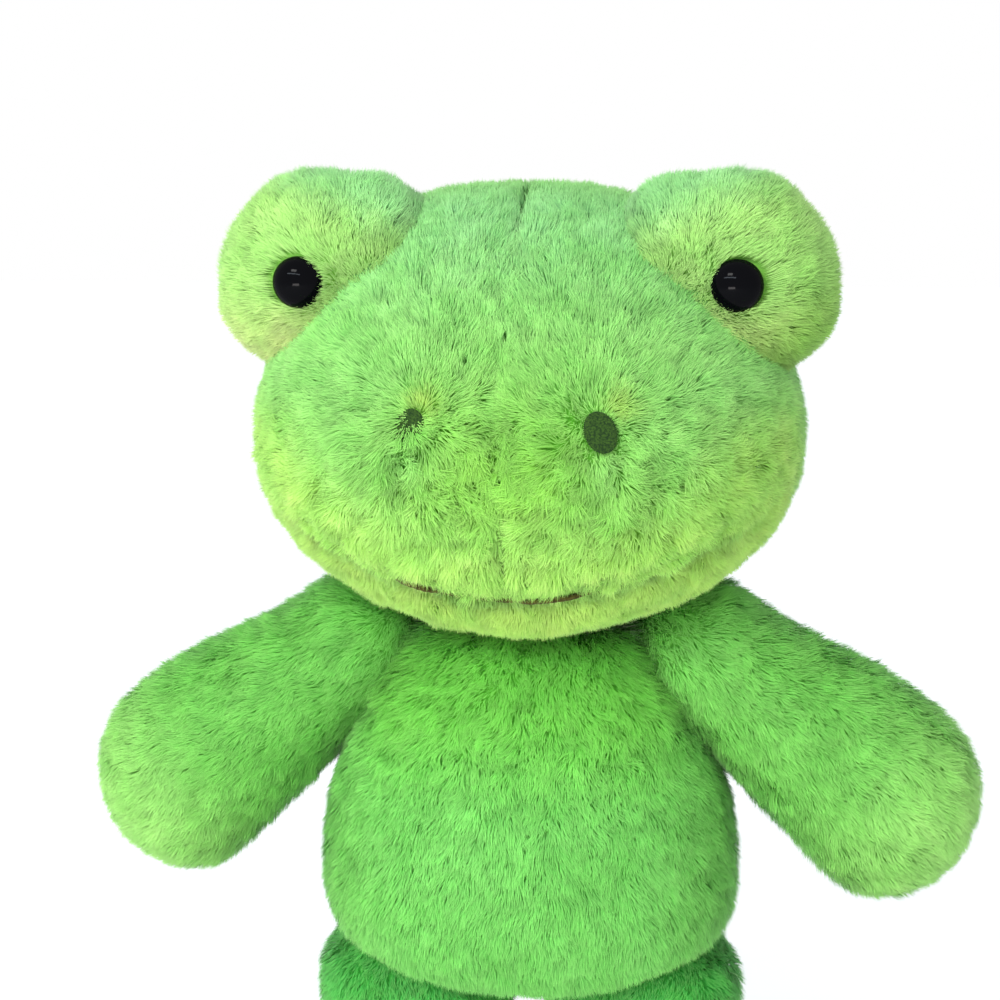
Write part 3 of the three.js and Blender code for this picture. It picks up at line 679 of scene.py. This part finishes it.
def mouthShown(x):    # 1 where the thread shows between the hairs
    edge = mouth["shownEdge"]
    return sum(ease(x, low - edge, low + edge) * (1 - ease(x, high - edge, high + edge))
               for low, high in mouth["shown"])


def lipSeamShare(z, spread=14):    # 1 where the centre seam meets the upper lip
    return bump(z - face["lipSeamAt"], spread)


# The point of the face at X and a level: in front by the ring's depth, times what the squarish
# ellipse leaves at x / width
def headSpot(x, level, inset=0):
    rings = roundRings(head, inset)[::-1]
    width, front = (np.interp(level, rings[:, 0], rings[:, k]) for k in (1, 2))
    square = head["square"]
    return np.array([x, -front * (1 - abs(x / width) ** square) ** (1 / square), level])


def headNormal(x, level):    # square to the face, from two short steps across it
    step = 0.5
    across = headSpot(x + step, level) - headSpot(x - step, level)
    upward = headSpot(x, level + step) - headSpot(x, level - step)
    return unit(np.cross(across, upward))


def backingSpot(x, level):    # the point of the backing under a point of the face
    return headSpot(x, level) - headNormal(x, level) * backingDepth


# How far the face stands out past its plain form: a full lip over a sharp crease with a jaw that
# falls back, the centre seam drawn in, a lower crown, an uneven muzzle, and the nostrils' dents
def headRelief(points):
    x, y, z = points.T
    ahead = ease(-y, 5, 35)
    over = z - mouthLevel(x)
    lip = face["lip"] * bump(over - face["lipAbove"], face["lipWide"])
    lip -= face["jawIn"] * bump(over + 6, 6) + face["crease"] * bump(over, face["creaseWide"])
    seam = face["seam"] + face["crownSeam"] * ease(z, 62, 88)
    seam += face["lipSeam"] * lipSeamShare(z, 15)
    relief = ahead * (lip * mouthEnds(x) - seam * bump(x, face["seamWide"]) * (over > 0))
    relief -= face["crownIn"] * ease(z, 72, 92)
    relief += face["muzzleSwell"] * smoothNoise(points, 13, 31) * ahead * ease(-z, 5, 35)
    for opening in openings.values():
        apart = np.linalg.norm(points - headSpot(*opening["at"]), axis=1)
        relief -= opening["dent"] * bump(np.maximum(apart - 3, 0), opening["dentWide"])
    return relief


# The pile runs away from the nostrils over the face, parts at the centre seam, and runs down behind
def headLay(points, ahead):
    x, z = points[:, 0], points[:, 2]
    lay = np.zeros_like(points) + [0, 0.2, -0.1]
    for side, opening in openings.items():
        away = points - backingSpot(*opening["at"])
        lay += unit(away) * ease(sides[side] * x, -26, 26)[:, None]
    lay = blended(np.array([0, 0.1, -1.0]), lay, ahead)
    lay[:, 0] += 0.25 * np.sign(x) * ease(np.abs(x), 60, 90)
    parted = ease(z, *face["crownAt"]) + lipSeamShare(z)
    lay[:, 0] += 0.6 * np.sign(x) * bump(x, 4) * ahead * parted
    return lay


# It is short round the nostrils, along the smile, more so where the thread is bare, at the centre
# seam and at the bulges: 1 less a share for each, multiplied
def headReach(points, over, ahead, smile, bare, jaw):
    x, z, cut = points[:, 0], points[:, 2], headCuts
    reach = 1 - cut["jaw"] * jaw
    for opening in openings.values():
        apart = np.linalg.norm(points - backingSpot(*opening["at"]), axis=1)
        grown = ease(apart, opening["clear"], opening["grown"])
        grown = opening["least"] + (1 - opening["least"]) * grown
        reach = reach * np.where(apart < opening["clear"], 0, grown)
    above = cut["above"] * smile + cut["aboveBare"] * bare
    above = above * bump(np.maximum(over - 0.5, 0), cut["aboveHigh"]) * (over > 0)
    below = cut["below"] * smile + cut["belowBare"] * bare
    below = below * bump(over + 0.8, cut["belowHigh"]) * (over <= 0)
    seam = cut["crownSeam"] * ease(z, *face["crownAt"]) + cut["lipSeam"] * lipSeamShare(z)
    seam = seam * bump(x, cut["seamWide"]) * ahead * (over > 0)
    reach = reach * (1 - above) * (1 - below) * (1 - seam)
    for side in sides:
        deep = depthInside(points + head["centre"], "bulge", side)
        reach = reach * (1 - cut["bulge"] * meeting(deep))
    return reach


# The shade goes from brow to crown and then towards each region's colour by its share. It is darker
# by painted shade in the crease along the smile and in the centre seam.
def headShade(points, over, ahead, smile, bare, jaw):
    x, y, z = points.T
    colours, at, dark = headColours, headRegions, headShadows
    shares = {
        "nose": bump(z - at["noseLevel"], at["noseHigh"]) * bump(x, at["noseWide"]) * ahead,
        "cheek": ease(np.abs(x), *at["cheekOut"]) * ease(-z, *at["cheekDown"]) * ahead,
        "muzzle": bump(over - at["lipOver"], at["lipHigh"]) * ahead,
        "back": 1 - ahead,
        "jaw": jaw,
    }
    shade = blended(colours["brow"], colours["crown"], ease(z, *at["crownUp"]))
    for name, share in shares.items():
        shade = blended(shade, colours[name], share)
    for sign in sides.values():
        for name, offX, offZ, share, spread in nostrilTints:
            spot = backingSpot(sign * face["nostrilSpread"] + offX, face["nostrilAbove"] + offZ)
            near = bump(np.linalg.norm(points - spot, axis=1), spread)
            shade = blended(shade, colours[name], share * near)
    # painted shade in the smile's crease and down the centre seam
    line = np.where(over > 0, bump(over, dark["above"]), bump(over, dark["below"]))
    line = line * smile * (dark["smile"] + dark["bare"] * bare)
    seam = dark["seam"] * (ease(z, 50, 75) + 0.8 * lipSeamShare(z))
    seam = seam * bump(x, dark["seamWide"]) * ahead
    shade = shade * ((1 - line) * (1 - seam))[:, None]
    return patched(shade, points, 5, 1 + 0.5 * ahead * (1 - jaw))


def headFields(points):    # messiest on the muzzle, and flatter along the smile and on the jaw
    x, y, z = points.T
    over = z - mouthLevel(x)
    ahead = ease(-y, -8, 30)
    smile, bare = mouthEnds(x) * ahead, mouthShown(x) * ahead
    jaw = ease(-over, -1, 4) * ahead * (1 - 0.6 * ease(np.abs(x), 60, 95))
    messy = 0.8 * ease(-z, -35, 12) * (1 - 0.5 * ease(np.abs(x), 60, 92))
    mess = 0.8 + (messy - 0.45 * jaw) * ahead
    tilt = 1 - 0.3 * bump(over - 1, 3) * smile - 0.25 * jaw
    where = points, over, ahead, smile, bare, jaw
    return headLay(points, ahead), headReach(*where), mess, headShade(*where), tilt


# Two panels on the face, left and right of the centre seam and above the smile, the jaw under it,
# and the back behind the side seam
def makeHead():
    def hidden(spots):    # deep inside the torso or a bulge
        covered = depthInside(spots, "torso") > coveredDepth["joint"]
        for side in sides:
            covered |= depthInside(spots, "bulge", side) > coveredDepth["seam"]
        return covered

    def front(spots):    # before the side seam
        return spots[:, 1] < head["sideSeam"]

    def over(spots):    # above the smile
        return spots[:, 2] > mouthLevel(spots[:, 0])

    addPanels("head", backed("head", relief=headRelief), headFields, hidden, range(20, 24), [
        (["face_panel_right"], faceCoat, lambda s: front(s) & over(s) & (s[:, 0] > 0)),
        (["face_panel_left"], faceCoat, lambda s: front(s) & over(s) & (s[:, 0] <= 0)),
        (["jaw_panel"], basicCoat, lambda s: front(s) & ~over(s)),
        (["head_back_panel", "head_stuffing"], backCoat, lambda s: ~front(s)),
    ])


nostril = {
    "halfWidth": 5.1, "halfHeight": 7.2, "thickness": 1.4, "depth": 3.2, "lean": 18, "stitch": 0.62,
    "ridge": 0.1, "rows": 140, "columns": 40,
}


# A stitched nostril: an oval pad whose half width goes with the root of 1 - level^2. Each ring is
# larger by the ridge times |cos| of pi times the number of stitches up to it.
def makeNostril(side):
    at = sides[side] * face["nostrilSpread"], face["nostrilAbove"]
    spot, out = headSpot(*at), headNormal(*at)
    across, upward = axesOn(out)
    tilt = math.radians(sides[side] * nostril["lean"])
    across, upward = (across * math.cos(tilt) + upward * math.sin(tilt),
                      upward * math.cos(tilt) - across * math.sin(tilt))
    level = np.sin(np.linspace(-math.pi / 2, math.pi / 2, nostril["rows"] + 2)[1:-1])
    plump = np.sqrt(1 - level ** 2)
    stitches = level * nostril["halfHeight"] / nostril["stitch"]
    ridge = 1 + nostril["ridge"] * np.abs(np.cos(math.pi * stitches))
    turn = circle(nostril["columns"])
    wide = nostril["halfWidth"] * (plump * ridge)[:, None] * np.cos(turn)
    high = 0.5 * nostril["thickness"] * (plump ** 0.4 * ridge)[:, None] * powered(np.sin(turn), 0.7)
    middle = spot - out * (nostril["depth"] + 0.5 * nostril["thickness"])
    rows = (middle + across * wide[..., None] + out * high[..., None]
            + upward * (nostril["halfHeight"] * level)[:, None, None])
    addSmall("head", f"nostril_{side}", "stitched", rows + head["centre"],
             mottledMaterial("threadOlive"))


# The smile's thread lies along the seam between face and jaw, deep in the pile but where it shows
def makeMouth():
    x = np.linspace(-mouth["halfSpan"], mouth["halfSpan"], mouth["steps"])
    depth = mouth["depth"] - mouth["rise"] * mouthShown(x)
    path = np.stack([headSpot(at, mouthLevel(at), deep) for at, deep in zip(x, depth)])
    rows = twistedThread(path + head["centre"], mouth["radius"], mouth["pitch"], mouth["columns"])
    addSmall("head", "mouth_thread", "twisted", rows, mottledMaterial("threadBrown"))


# Eye bulges and eyes

bulgeColours = lights({
    "body": (178, 230, 122), "low": (240, 255, 160), "top": (158, 228, 146),
    "back": (160, 228, 116), "rightLowPaintedShade": (150, 206, 82),
})
bulgePile = {    # where the colours lie, and from where to where the pile about the eye is turned
    "lowDown": (0, 30), "topUp": (16, 36), "backFrom": (0, 25), "rimNear": (9.5, 14),
    "rimFar": (12, 24), "calm": (10, 16), "longer": 0.14, "shorter": 0.25, "darker": 0.2,
    "turned": 0.9, "raised": 0.4,
}
eye = {
    "out": 1.5, "down": 1.5, "radius": 9, "dome": 7, "rim": 0.8, "seat": -4.4, "shank": 2.3,
    "shankLength": 12, "shankTop": -0.4, "pole": 0.02, "domeSteps": 24, "columns": 64,
    "pileFrom": 8.7,
}


def meeting(deep, spread=6):    # 1 where one form touches another, falling off outside it
    return bump(np.minimum(deep + 1, 0), spread)


# On the bulge, in its own place: the spot on the tips of the pile, where x, y and z over the half
# sizes have squares that add up to 1, and the way outwards
def eyeSeat(side):
    x, z = sides[side] * eye["out"], -eye["down"]
    size = np.array([bulge["width"], bulge["front"], bulge["rise"]])
    y = -bulge["front"] * math.sqrt(1 - (x / size[0]) ** 2 - (z / size[2]) ** 2)
    spot = np.array([x, y, z])
    return spot, unit(spot / size ** 2)


# A bulge is filled out towards the crown, and flatter on top and outside than an ellipsoid, by how
# near a point's direction is to each of three
def bulgeRelief(side):
    def relief(points):
        away, sign = unit(points), sides[side]
        inwards = away @ unit(np.array([-0.97 * sign, -0.1, 0.2]))
        outwards = away @ unit(np.array([0.9 * sign, 0, 0.3]))
        upwards = away @ unit(np.array([0.2 * sign, 0, 1.0]))
        return (bulge["innerFill"] * ease(inwards, 0.5, 1)
                - bulge["outerTrim"] * ease(outwards, 0.6, 1)
                - bulge["topTrim"] * ease(upwards, 0.7, 1))

    return relief


# The pile of a bulge runs away from a spot low on its inner side. On that side of the eye it would
# lean over the rim, so there it turns inwards and stands up, the more so the nearer its roots are.
def bulgeFields(side):
    spot, out = eyeSeat(side)
    seat, sign = spot - out * backingDepth, sides[side]
    whorl, pile, colours = seat + [-26 * sign, 6, -14], bulgePile, bulgeColours

    def fields(points):
        x, y, z = points.T
        away = points - seat
        apart = np.linalg.norm(away, axis=1)
        flow, outwards = unit(points - whorl), unit(away)
        inner = np.clip(0.5 - np.sum(flow * outwards, axis=1), 0, 1)
        near = 1 - ease(apart, *pile["rimNear"])
        outwardShare = 0.35 * ease(apart, *pile["rimFar"]) - pile["turned"] * inner * near
        lay = flow + outwards * outwardShare[:, None]
        deep = depthInside(points + placeOf("bulge", side)[1], "head")
        reach = np.where(apart < eye["pileFrom"], 0, 1 + pile["longer"] * near)
        reach = reach * (1 - pile["shorter"] * meeting(deep))
        shade = blended(colours["body"], colours["low"], ease(-z, *pile["lowDown"]))
        shade = blended(shade, colours["top"], ease(z - 0.4 * sign * x, *pile["topUp"]))
        shade = blended(shade, colours["back"], ease(y, *pile["backFrom"]))
        if side == "right":    # painted shade: darker low down on the outside, away from the lamps
            dark = ease(0.6 * x - 0.8 * z, 6, 30) * ease(-y, -10, 5)
            shade = blended(shade, colours["rightLowPaintedShade"], dark)
        # painted shade in the crease where the bulge meets the head
        shade = patched(shade, points, 7) * (1 - pile["darker"] * meeting(deep, 1.8))[:, None]
        mess = 0.4 + 0.5 * ease(apart, *pile["calm"])
        return lay, reach, mess, shade, 1 - pile["raised"] * inner * near

    return fields


def makeBulge(side):    # two panels, split at the middle of its depth
    def hidden(spots):    # deep inside the head
        return depthInside(spots, "head") > coveredDepth["seam"]

    name, form = f"eye_bulge_{side}", backed("bulge", side, bulgeRelief(side))
    seeds = 40 + sides[side], 44 + sides[side]
    addPanels("head", form, bulgeFields(side), hidden, seeds, [
        ([f"{name}_front", f"{name}_stuffing"], bulgeCoat, lambda s: s[:, 1] < 0),
        ([f"{name}_back"], bulgeCoat, lambda s: s[:, 1] >= 0),
    ])


# The eye is turned round its axis: shank, rim and dome, from [radius, height] points. The dome is a
# quarter ellipse from the rim up.
def makeEye(side):
    spot, out = eyeSeat(side)
    turn = np.linspace(0, math.pi / 2, eye["domeSteps"] + 1)[:-1]
    rim, shank, pole = eye["rim"], eye["shank"], eye["pole"]
    dome = np.stack([eye["radius"] * np.cos(turn), rim + (eye["dome"] - rim) * np.sin(turn)], 1)
    profile = np.vstack([
        [[pole, -eye["shankLength"]], [shank, -eye["shankLength"]], [shank, eye["shankTop"]]],
        [[eye["radius"] - rim, 0]], dome, [[pole, eye["dome"]]],
    ])
    across, upward = axesOn(out)
    turn = circle(eye["columns"])[:, None]
    ring = across * np.cos(turn) + upward * np.sin(turn)
    middle = placeOf("bulge", side)[1] + spot + out * eye["seat"]
    rows = middle + profile[:, 0, None, None] * ring + profile[:, 1, None, None] * out
    addSmall("head", f"eye_{side}", "domed", rows, glossMaterial())


def finishWashers():    # pressed white plastic, hidden in the stuffing
    for side in sides:
        washer = frame["nodes"][f"eye_washer_{side}"]
        washer.data.materials.clear()
        washer.data.materials.append(mottledMaterial("washerWhite"))


# Torso

torsoColours = lights({
    "chest": (120, 218, 74), "belly": (124, 221, 98), "side": (116, 208, 86),
    "back": (120, 216, 94),
})
# Where a limb is sewn in: the pile is shorter, and darker as painted shade in the crease
sewnIn = {"shorter": 0.35, "darker": 0.22, "spread": 4, "farthest": 16}
torsoPile = {    # levels and widths of the colours, of the parting behind and its painted shade, and of the long collar
    "chestUp": (30, 70), "sideOut": (40, 70), "backFrom": (0, 30), "partingWide": 2.2,
    "partingLow": (-2, 4), "partingHigh": (68, 74), "partingShorter": 0.6, "partingPaintedShade": 0.15,
    "collarUp": (62, 72), "collarOut": (24, 34), "collarLonger": 0.3, "topUp": (82, 92),
    "topLonger": 0.6,
}


def creased(deep):    # 1 where a limb is sewn in, falling off outside it
    return bump(np.minimum(deep, 0), sewnIn["spread"]) * (deep > -sewnIn["farthest"])


# The pile of the torso runs down. It is short, and darker by painted shade, at the limbs, and parts
# over the closing stitch, where painted shade darkens it.
# Beside the neck it is long, most of all on top, and fills the gap under the head.
def torsoFields(points):
    x, y, z = points.T
    lay = np.stack([0.006 * x, -0.15 + 0 * y, -1 + 0 * z], 1)
    colours, pile = torsoColours, torsoPile
    shade = blended(colours["belly"], colours["chest"], ease(z, *pile["chestUp"]))
    shade = blended(shade, colours["side"], ease(np.abs(x), *pile["sideOut"]))
    shade = patched(blended(shade, colours["back"], ease(y, *pile["backFrom"])), points, 8)
    sewn = np.zeros(len(points))
    for side in sides:
        for kind in limbKinds:
            sewn = np.maximum(sewn, creased(depthInside(points + torso["centre"], kind, side)))
    parting = ease(z, *pile["partingLow"]) * (1 - ease(z, *pile["partingHigh"]))
    parting = parting * bump(x, pile["partingWide"]) * (y > 0)
    collar = ease(z, *pile["collarUp"]) * ease(np.abs(x), *pile["collarOut"])
    reach = 1 - sewnIn["shorter"] * sewn * (1 - collar) - pile["partingShorter"] * parting
    reach += collar * (pile["collarLonger"] + pile["topLonger"] * ease(z, *pile["topUp"]))
    mess = 0.65 + 0.35 * bump(z - 52, 26) * bump(x, 42) * (y < 0)
    # painted shade in the creases at the limbs and in the parting
    shade = shade * (1 - sewnIn["darker"] * sewn - pile["partingPaintedShade"] * parting)[:, None]
    return lay, reach, mess, shade, np.ones(len(points))


# What stays covered all through a limb's swing, from its depth at each swing
def coveredBySwing(kind, depthAt):
    deep = [depthAt(swing) > coveredDepth["joint"] for swing in shapes[kind]["swings"]]
    return np.all(deep, axis=0)


# Three panels: the belly before the side seam, and two behind it that meet at the back seam
def makeTorso():
    def hidden(spots):    # deep inside the head, or inside a limb all through its swing
        covered = depthInside(spots, "head") > coveredDepth["joint"]
        for side in sides:
            for kind in limbKinds:
                covered |= coveredBySwing(kind, lambda swing: depthInside(spots, kind, side, swing))
        return covered

    def behind(spots):    # past the side seam
        return spots[:, 1] >= torso["sideSeam"]

    addPanels("torso", backed("torso"), torsoFields, hidden, range(50, 53), [
        (["belly_panel", "torso_stuffing"], bellyCoat, lambda s: ~behind(s)),
        (["back_panel_right"], backCoat, lambda s: behind(s) & (s[:, 0] > 0)),
        (["back_panel_left"], backCoat, lambda s: behind(s) & (s[:, 0] <= 0)),
    ])


closing = {
    "above": 7, "length": 60, "halfWidth": 1.6, "radius": 0.6, "pitch": 1.6, "columns": 10,
    "depth": 1.6, "stitches": 10, "steps": 240, "blunt": 0.98,
}


# The back seam's closing stitch: a thread laced over the seam just under the pile's tips. Its path
# is the arc sine of a sine, a zigzag with slightly blunted corners.
def makeClosing():
    share = np.linspace(0, 1, closing["steps"])
    level = closing["above"] + closing["length"] * share
    phase = math.pi * (share * closing["stitches"] - 0.5) * closing["blunt"]
    wave = np.arcsin(np.sin(phase)) / (math.pi / 2)
    rings = roundRings(torso, closing["depth"])
    back = np.interp(level, rings[::-1, 0], rings[::-1, 3])
    path = np.stack([closing["halfWidth"] * wave, back, level], 1) + torso["centre"]
    rows = twistedThread(path, closing["radius"], closing["pitch"], closing["columns"])
    addSmall("torso", "back_closing_stitch", "laced", rows, mottledMaterial("threadGreen"))


# Arms and legs

# The right arm's colour is lighter than the left's: painted light, as both are of one fabric
limbColours = lights({
    "arm_right": (129, 218, 92), "arm_left": (115, 207, 81), "hand": (172, 236, 122),
    "leg_right": (76, 200, 79), "leg_left": (76, 200, 79), "foot": (132, 218, 98),
})
# The colour at a limb's end, from where to where it comes, and how far the pile lies forward
limbs = {
    "arm": {"end": "hand", "pale": (50, 115), "forward": 0.1, "instep": 0, "seeds": (10, 60),
            "coats": {"front": armCoat, "back": backCoat}},
    "leg": {"end": "foot", "pale": (50, 90), "forward": 0.2, "instep": 0.9, "seeds": (12, 70),
            "coats": {"front": legCoat, "back": backCoat, "sole": soleCoat}},
}
underfoot = -leg["floor"] + leg["soleInset"] + 0.2    # just over the sole


# The pile of a limb runs down it, and over the instep to the toe. It is short, and dark by painted
# shade in the crease, where the limb is sewn to the torso.
def limbFields(kind, side):
    limb, (turn, spot) = limbs[kind], placeOf(kind, side)
    own, end = limbColours[f"{kind}_{side}"], limbColours[limb["end"]]

    def fields(points):
        y, z = points[:, 1], points[:, 2]
        instep = limb["instep"] * ease(-z, 45, 80) * (y < 10)
        lay = np.stack([0 * z, -limb["forward"] - instep, -1 + 0 * z], 1)
        shade = patched(blended(own, end, ease(-z, *limb["pale"])), points, limb["seeds"][0])
        sewn = creased(depthInside(points @ turn.T + spot, "torso"))
        # painted shade in the crease at the torso
        shade = shade * (1 - sewnIn["darker"] * sewn)[:, None]
        level = np.ones(len(points))
        return lay, 1 - sewnIn["shorter"] * sewn, 0.8 * level, shade, level

    return fields


# The panels of a limb: front, which also holds the stuffing, back, and under a leg the sole. What
# the torso covers all through the swing is left out.
def makeLimb(kind, side):
    name, form, limb = f"{kind}_{side}", backed(kind, side), limbs[kind]

    def hidden(spots):    # deep inside the torso when turned back by each swing
        away, at = spots - pivot[name], pivot[name]
        return coveredBySwing(kind, lambda swing: depthInside(away @ turnX(-swing).T + at, "torso"))

    def panelOf(spots):    # 0 front, 1 back and 2 sole
        return np.where((spots[:, 2] <= underfoot) & (kind == "leg"), 2, spots[:, 1] >= 0)

    for index, (part, coat) in enumerate(limb["coats"].items()):
        nodes = [f"{name}_{part}"] + [f"{name}_stuffing"] * (part == "front")
        seed = limb["seeds"][1] + 4 * index + sides[side]
        addPanel(name, form, limbFields(kind, side), hidden, seed, nodes, coat,
                 lambda s: panelOf(s) == index)


# Camera, floor and light

view = {
    "azimuth": 7.5, "elevation": 9, "distance": 800, "target": (-10, 0, 283), "lens": 79.2,
    "sensor": 36, "clip": (0.05, 20),
}
lamps = {    # place and size in metres, power in watts and colour
    "keyLamp": ((-0.55, -1.35, 1.35), (0.5, 0.25), 9, (0.97, 0.99, 0.95)),
    "eyeLamp": ((-0.5, -1.3, 0.95), (1.1, 0.08), 7, (0.78, 0.9, 1)),
    "fillLamp": ((-0.35, -1.6, 0.05), (0.6, 0.25), 9, (1, 0.95, 0.92)),
}
lampAim = np.array([0, 0, 0.27])    # the middle of the frog


# The camera stands off its target at a distance, turned about Z by the azimuth and raised by the
# elevation, and looks back at it
def makeCamera():
    camera = bpy.data.objects.new("camera", bpy.data.cameras.new("camera"))
    bpy.context.scene.collection.objects.link(camera)
    a, e = math.radians(view["azimuth"]), math.radians(view["elevation"])
    back = np.array([math.sin(a) * math.cos(e), -math.cos(a) * math.cos(e), math.sin(e)])
    camera.location = (np.array(view["target"]) + back * view["distance"]) * mm
    camera.rotation_euler = (math.pi / 2 - e, 0, a)
    camera.data.sensor_width, camera.data.lens = view["sensor"], view["lens"]
    camera.data.clip_start, camera.data.clip_end = view["clip"]
    bpy.context.scene.camera = camera


def seenDirectly(tree):    # 1 for rays from the camera, gloss or glass: the most of the three
    path = addNode(tree, "LightPath")
    seen = path.outputs["Is Camera Ray"]
    for kind in ("Glossy", "Transmission"):
        most = addNode(tree, "Math")
        most.operation = "MAXIMUM"
        link(seen, most.inputs[0])
        link(path.outputs[f"Is {kind} Ray"], most.inputs[1])
        seen = most.outputs["Value"]
    return seen


def makeWorld():    # white where it is seen, and softer and cooler as light
    world = bpy.data.worlds.new("studio")
    bpy.context.scene.world = world
    world.use_nodes = True
    tree = world.node_tree
    soft, mix = tree.nodes["Background"], addNode(tree, "MixShader")
    setSockets(soft, {"Color": (0.9, 0.96, 1, 1), "Strength": 0.68})
    white = addNode(tree, "Background", Color=(1, 1, 1, 1), Strength=1)
    link(seenDirectly(tree), mix.inputs["Fac"])
    link(soft.outputs["Background"], mix.inputs[1])
    link(white.outputs["Background"], mix.inputs[2])
    link(mix.outputs["Shader"], tree.nodes["World Output"].inputs["Surface"])


def makeFloor():    # one large square, lifted towards white where it is seen
    half, glow = 6000.0, 0.45
    points = half * np.array([[-1, -1, 0], [1, -1, 0], [1, 1, 0], [-1, 1, 0]])
    material, tree, shader = newMaterial("floor", (0.93, 0.93, 0.93), Roughness=0.9,
                                         Emission_Color=(1, 1, 1, 1))
    lift = addNode(tree, "Math")
    lift.operation = "MULTIPLY"
    lift.inputs[1].default_value = glow
    link(seenDirectly(tree), lift.inputs[0])
    link(lift.outputs["Value"], shader.inputs["Emission Strength"])
    faces = np.array([[0, 1, 2], [0, 2, 3]])
    addMesh("floor", points, faces, np.tile([0.0, 0, 1], (4, 1)), material)


def makeLamp(name, at, size, power, colour):    # turned by the angles from its aim to its place
    lamp = bpy.data.lights.new(name, "AREA")
    lamp.shape = "RECTANGLE"
    (lamp.size, lamp.size_y), lamp.energy, lamp.color = size, power, colour
    made = bpy.data.objects.new(name, lamp)
    bpy.context.scene.collection.objects.link(made)
    made.location = at
    away = np.array(at) - lampAim
    across, level = math.atan2(away[0], -away[1]), math.hypot(away[0], away[1])
    made.rotation_euler = (math.pi / 2 - math.atan2(away[2], level), 0, across)


makeCamera()
makeWorld()
makeFloor()
for name, lamp in lamps.items():
    makeLamp(name, *lamp)
bpy.context.scene.view_settings.view_transform = "Standard"
print("camera, world, floor and lamps: done")

makeHead()
makeMouth()
for side in sides:
    makeNostril(side)
    makeBulge(side)
    makeEye(side)
finishWashers()
makeTorso()
makeClosing()
for side in sides:
    for kind in limbKinds:
        makeLimb(kind, side)
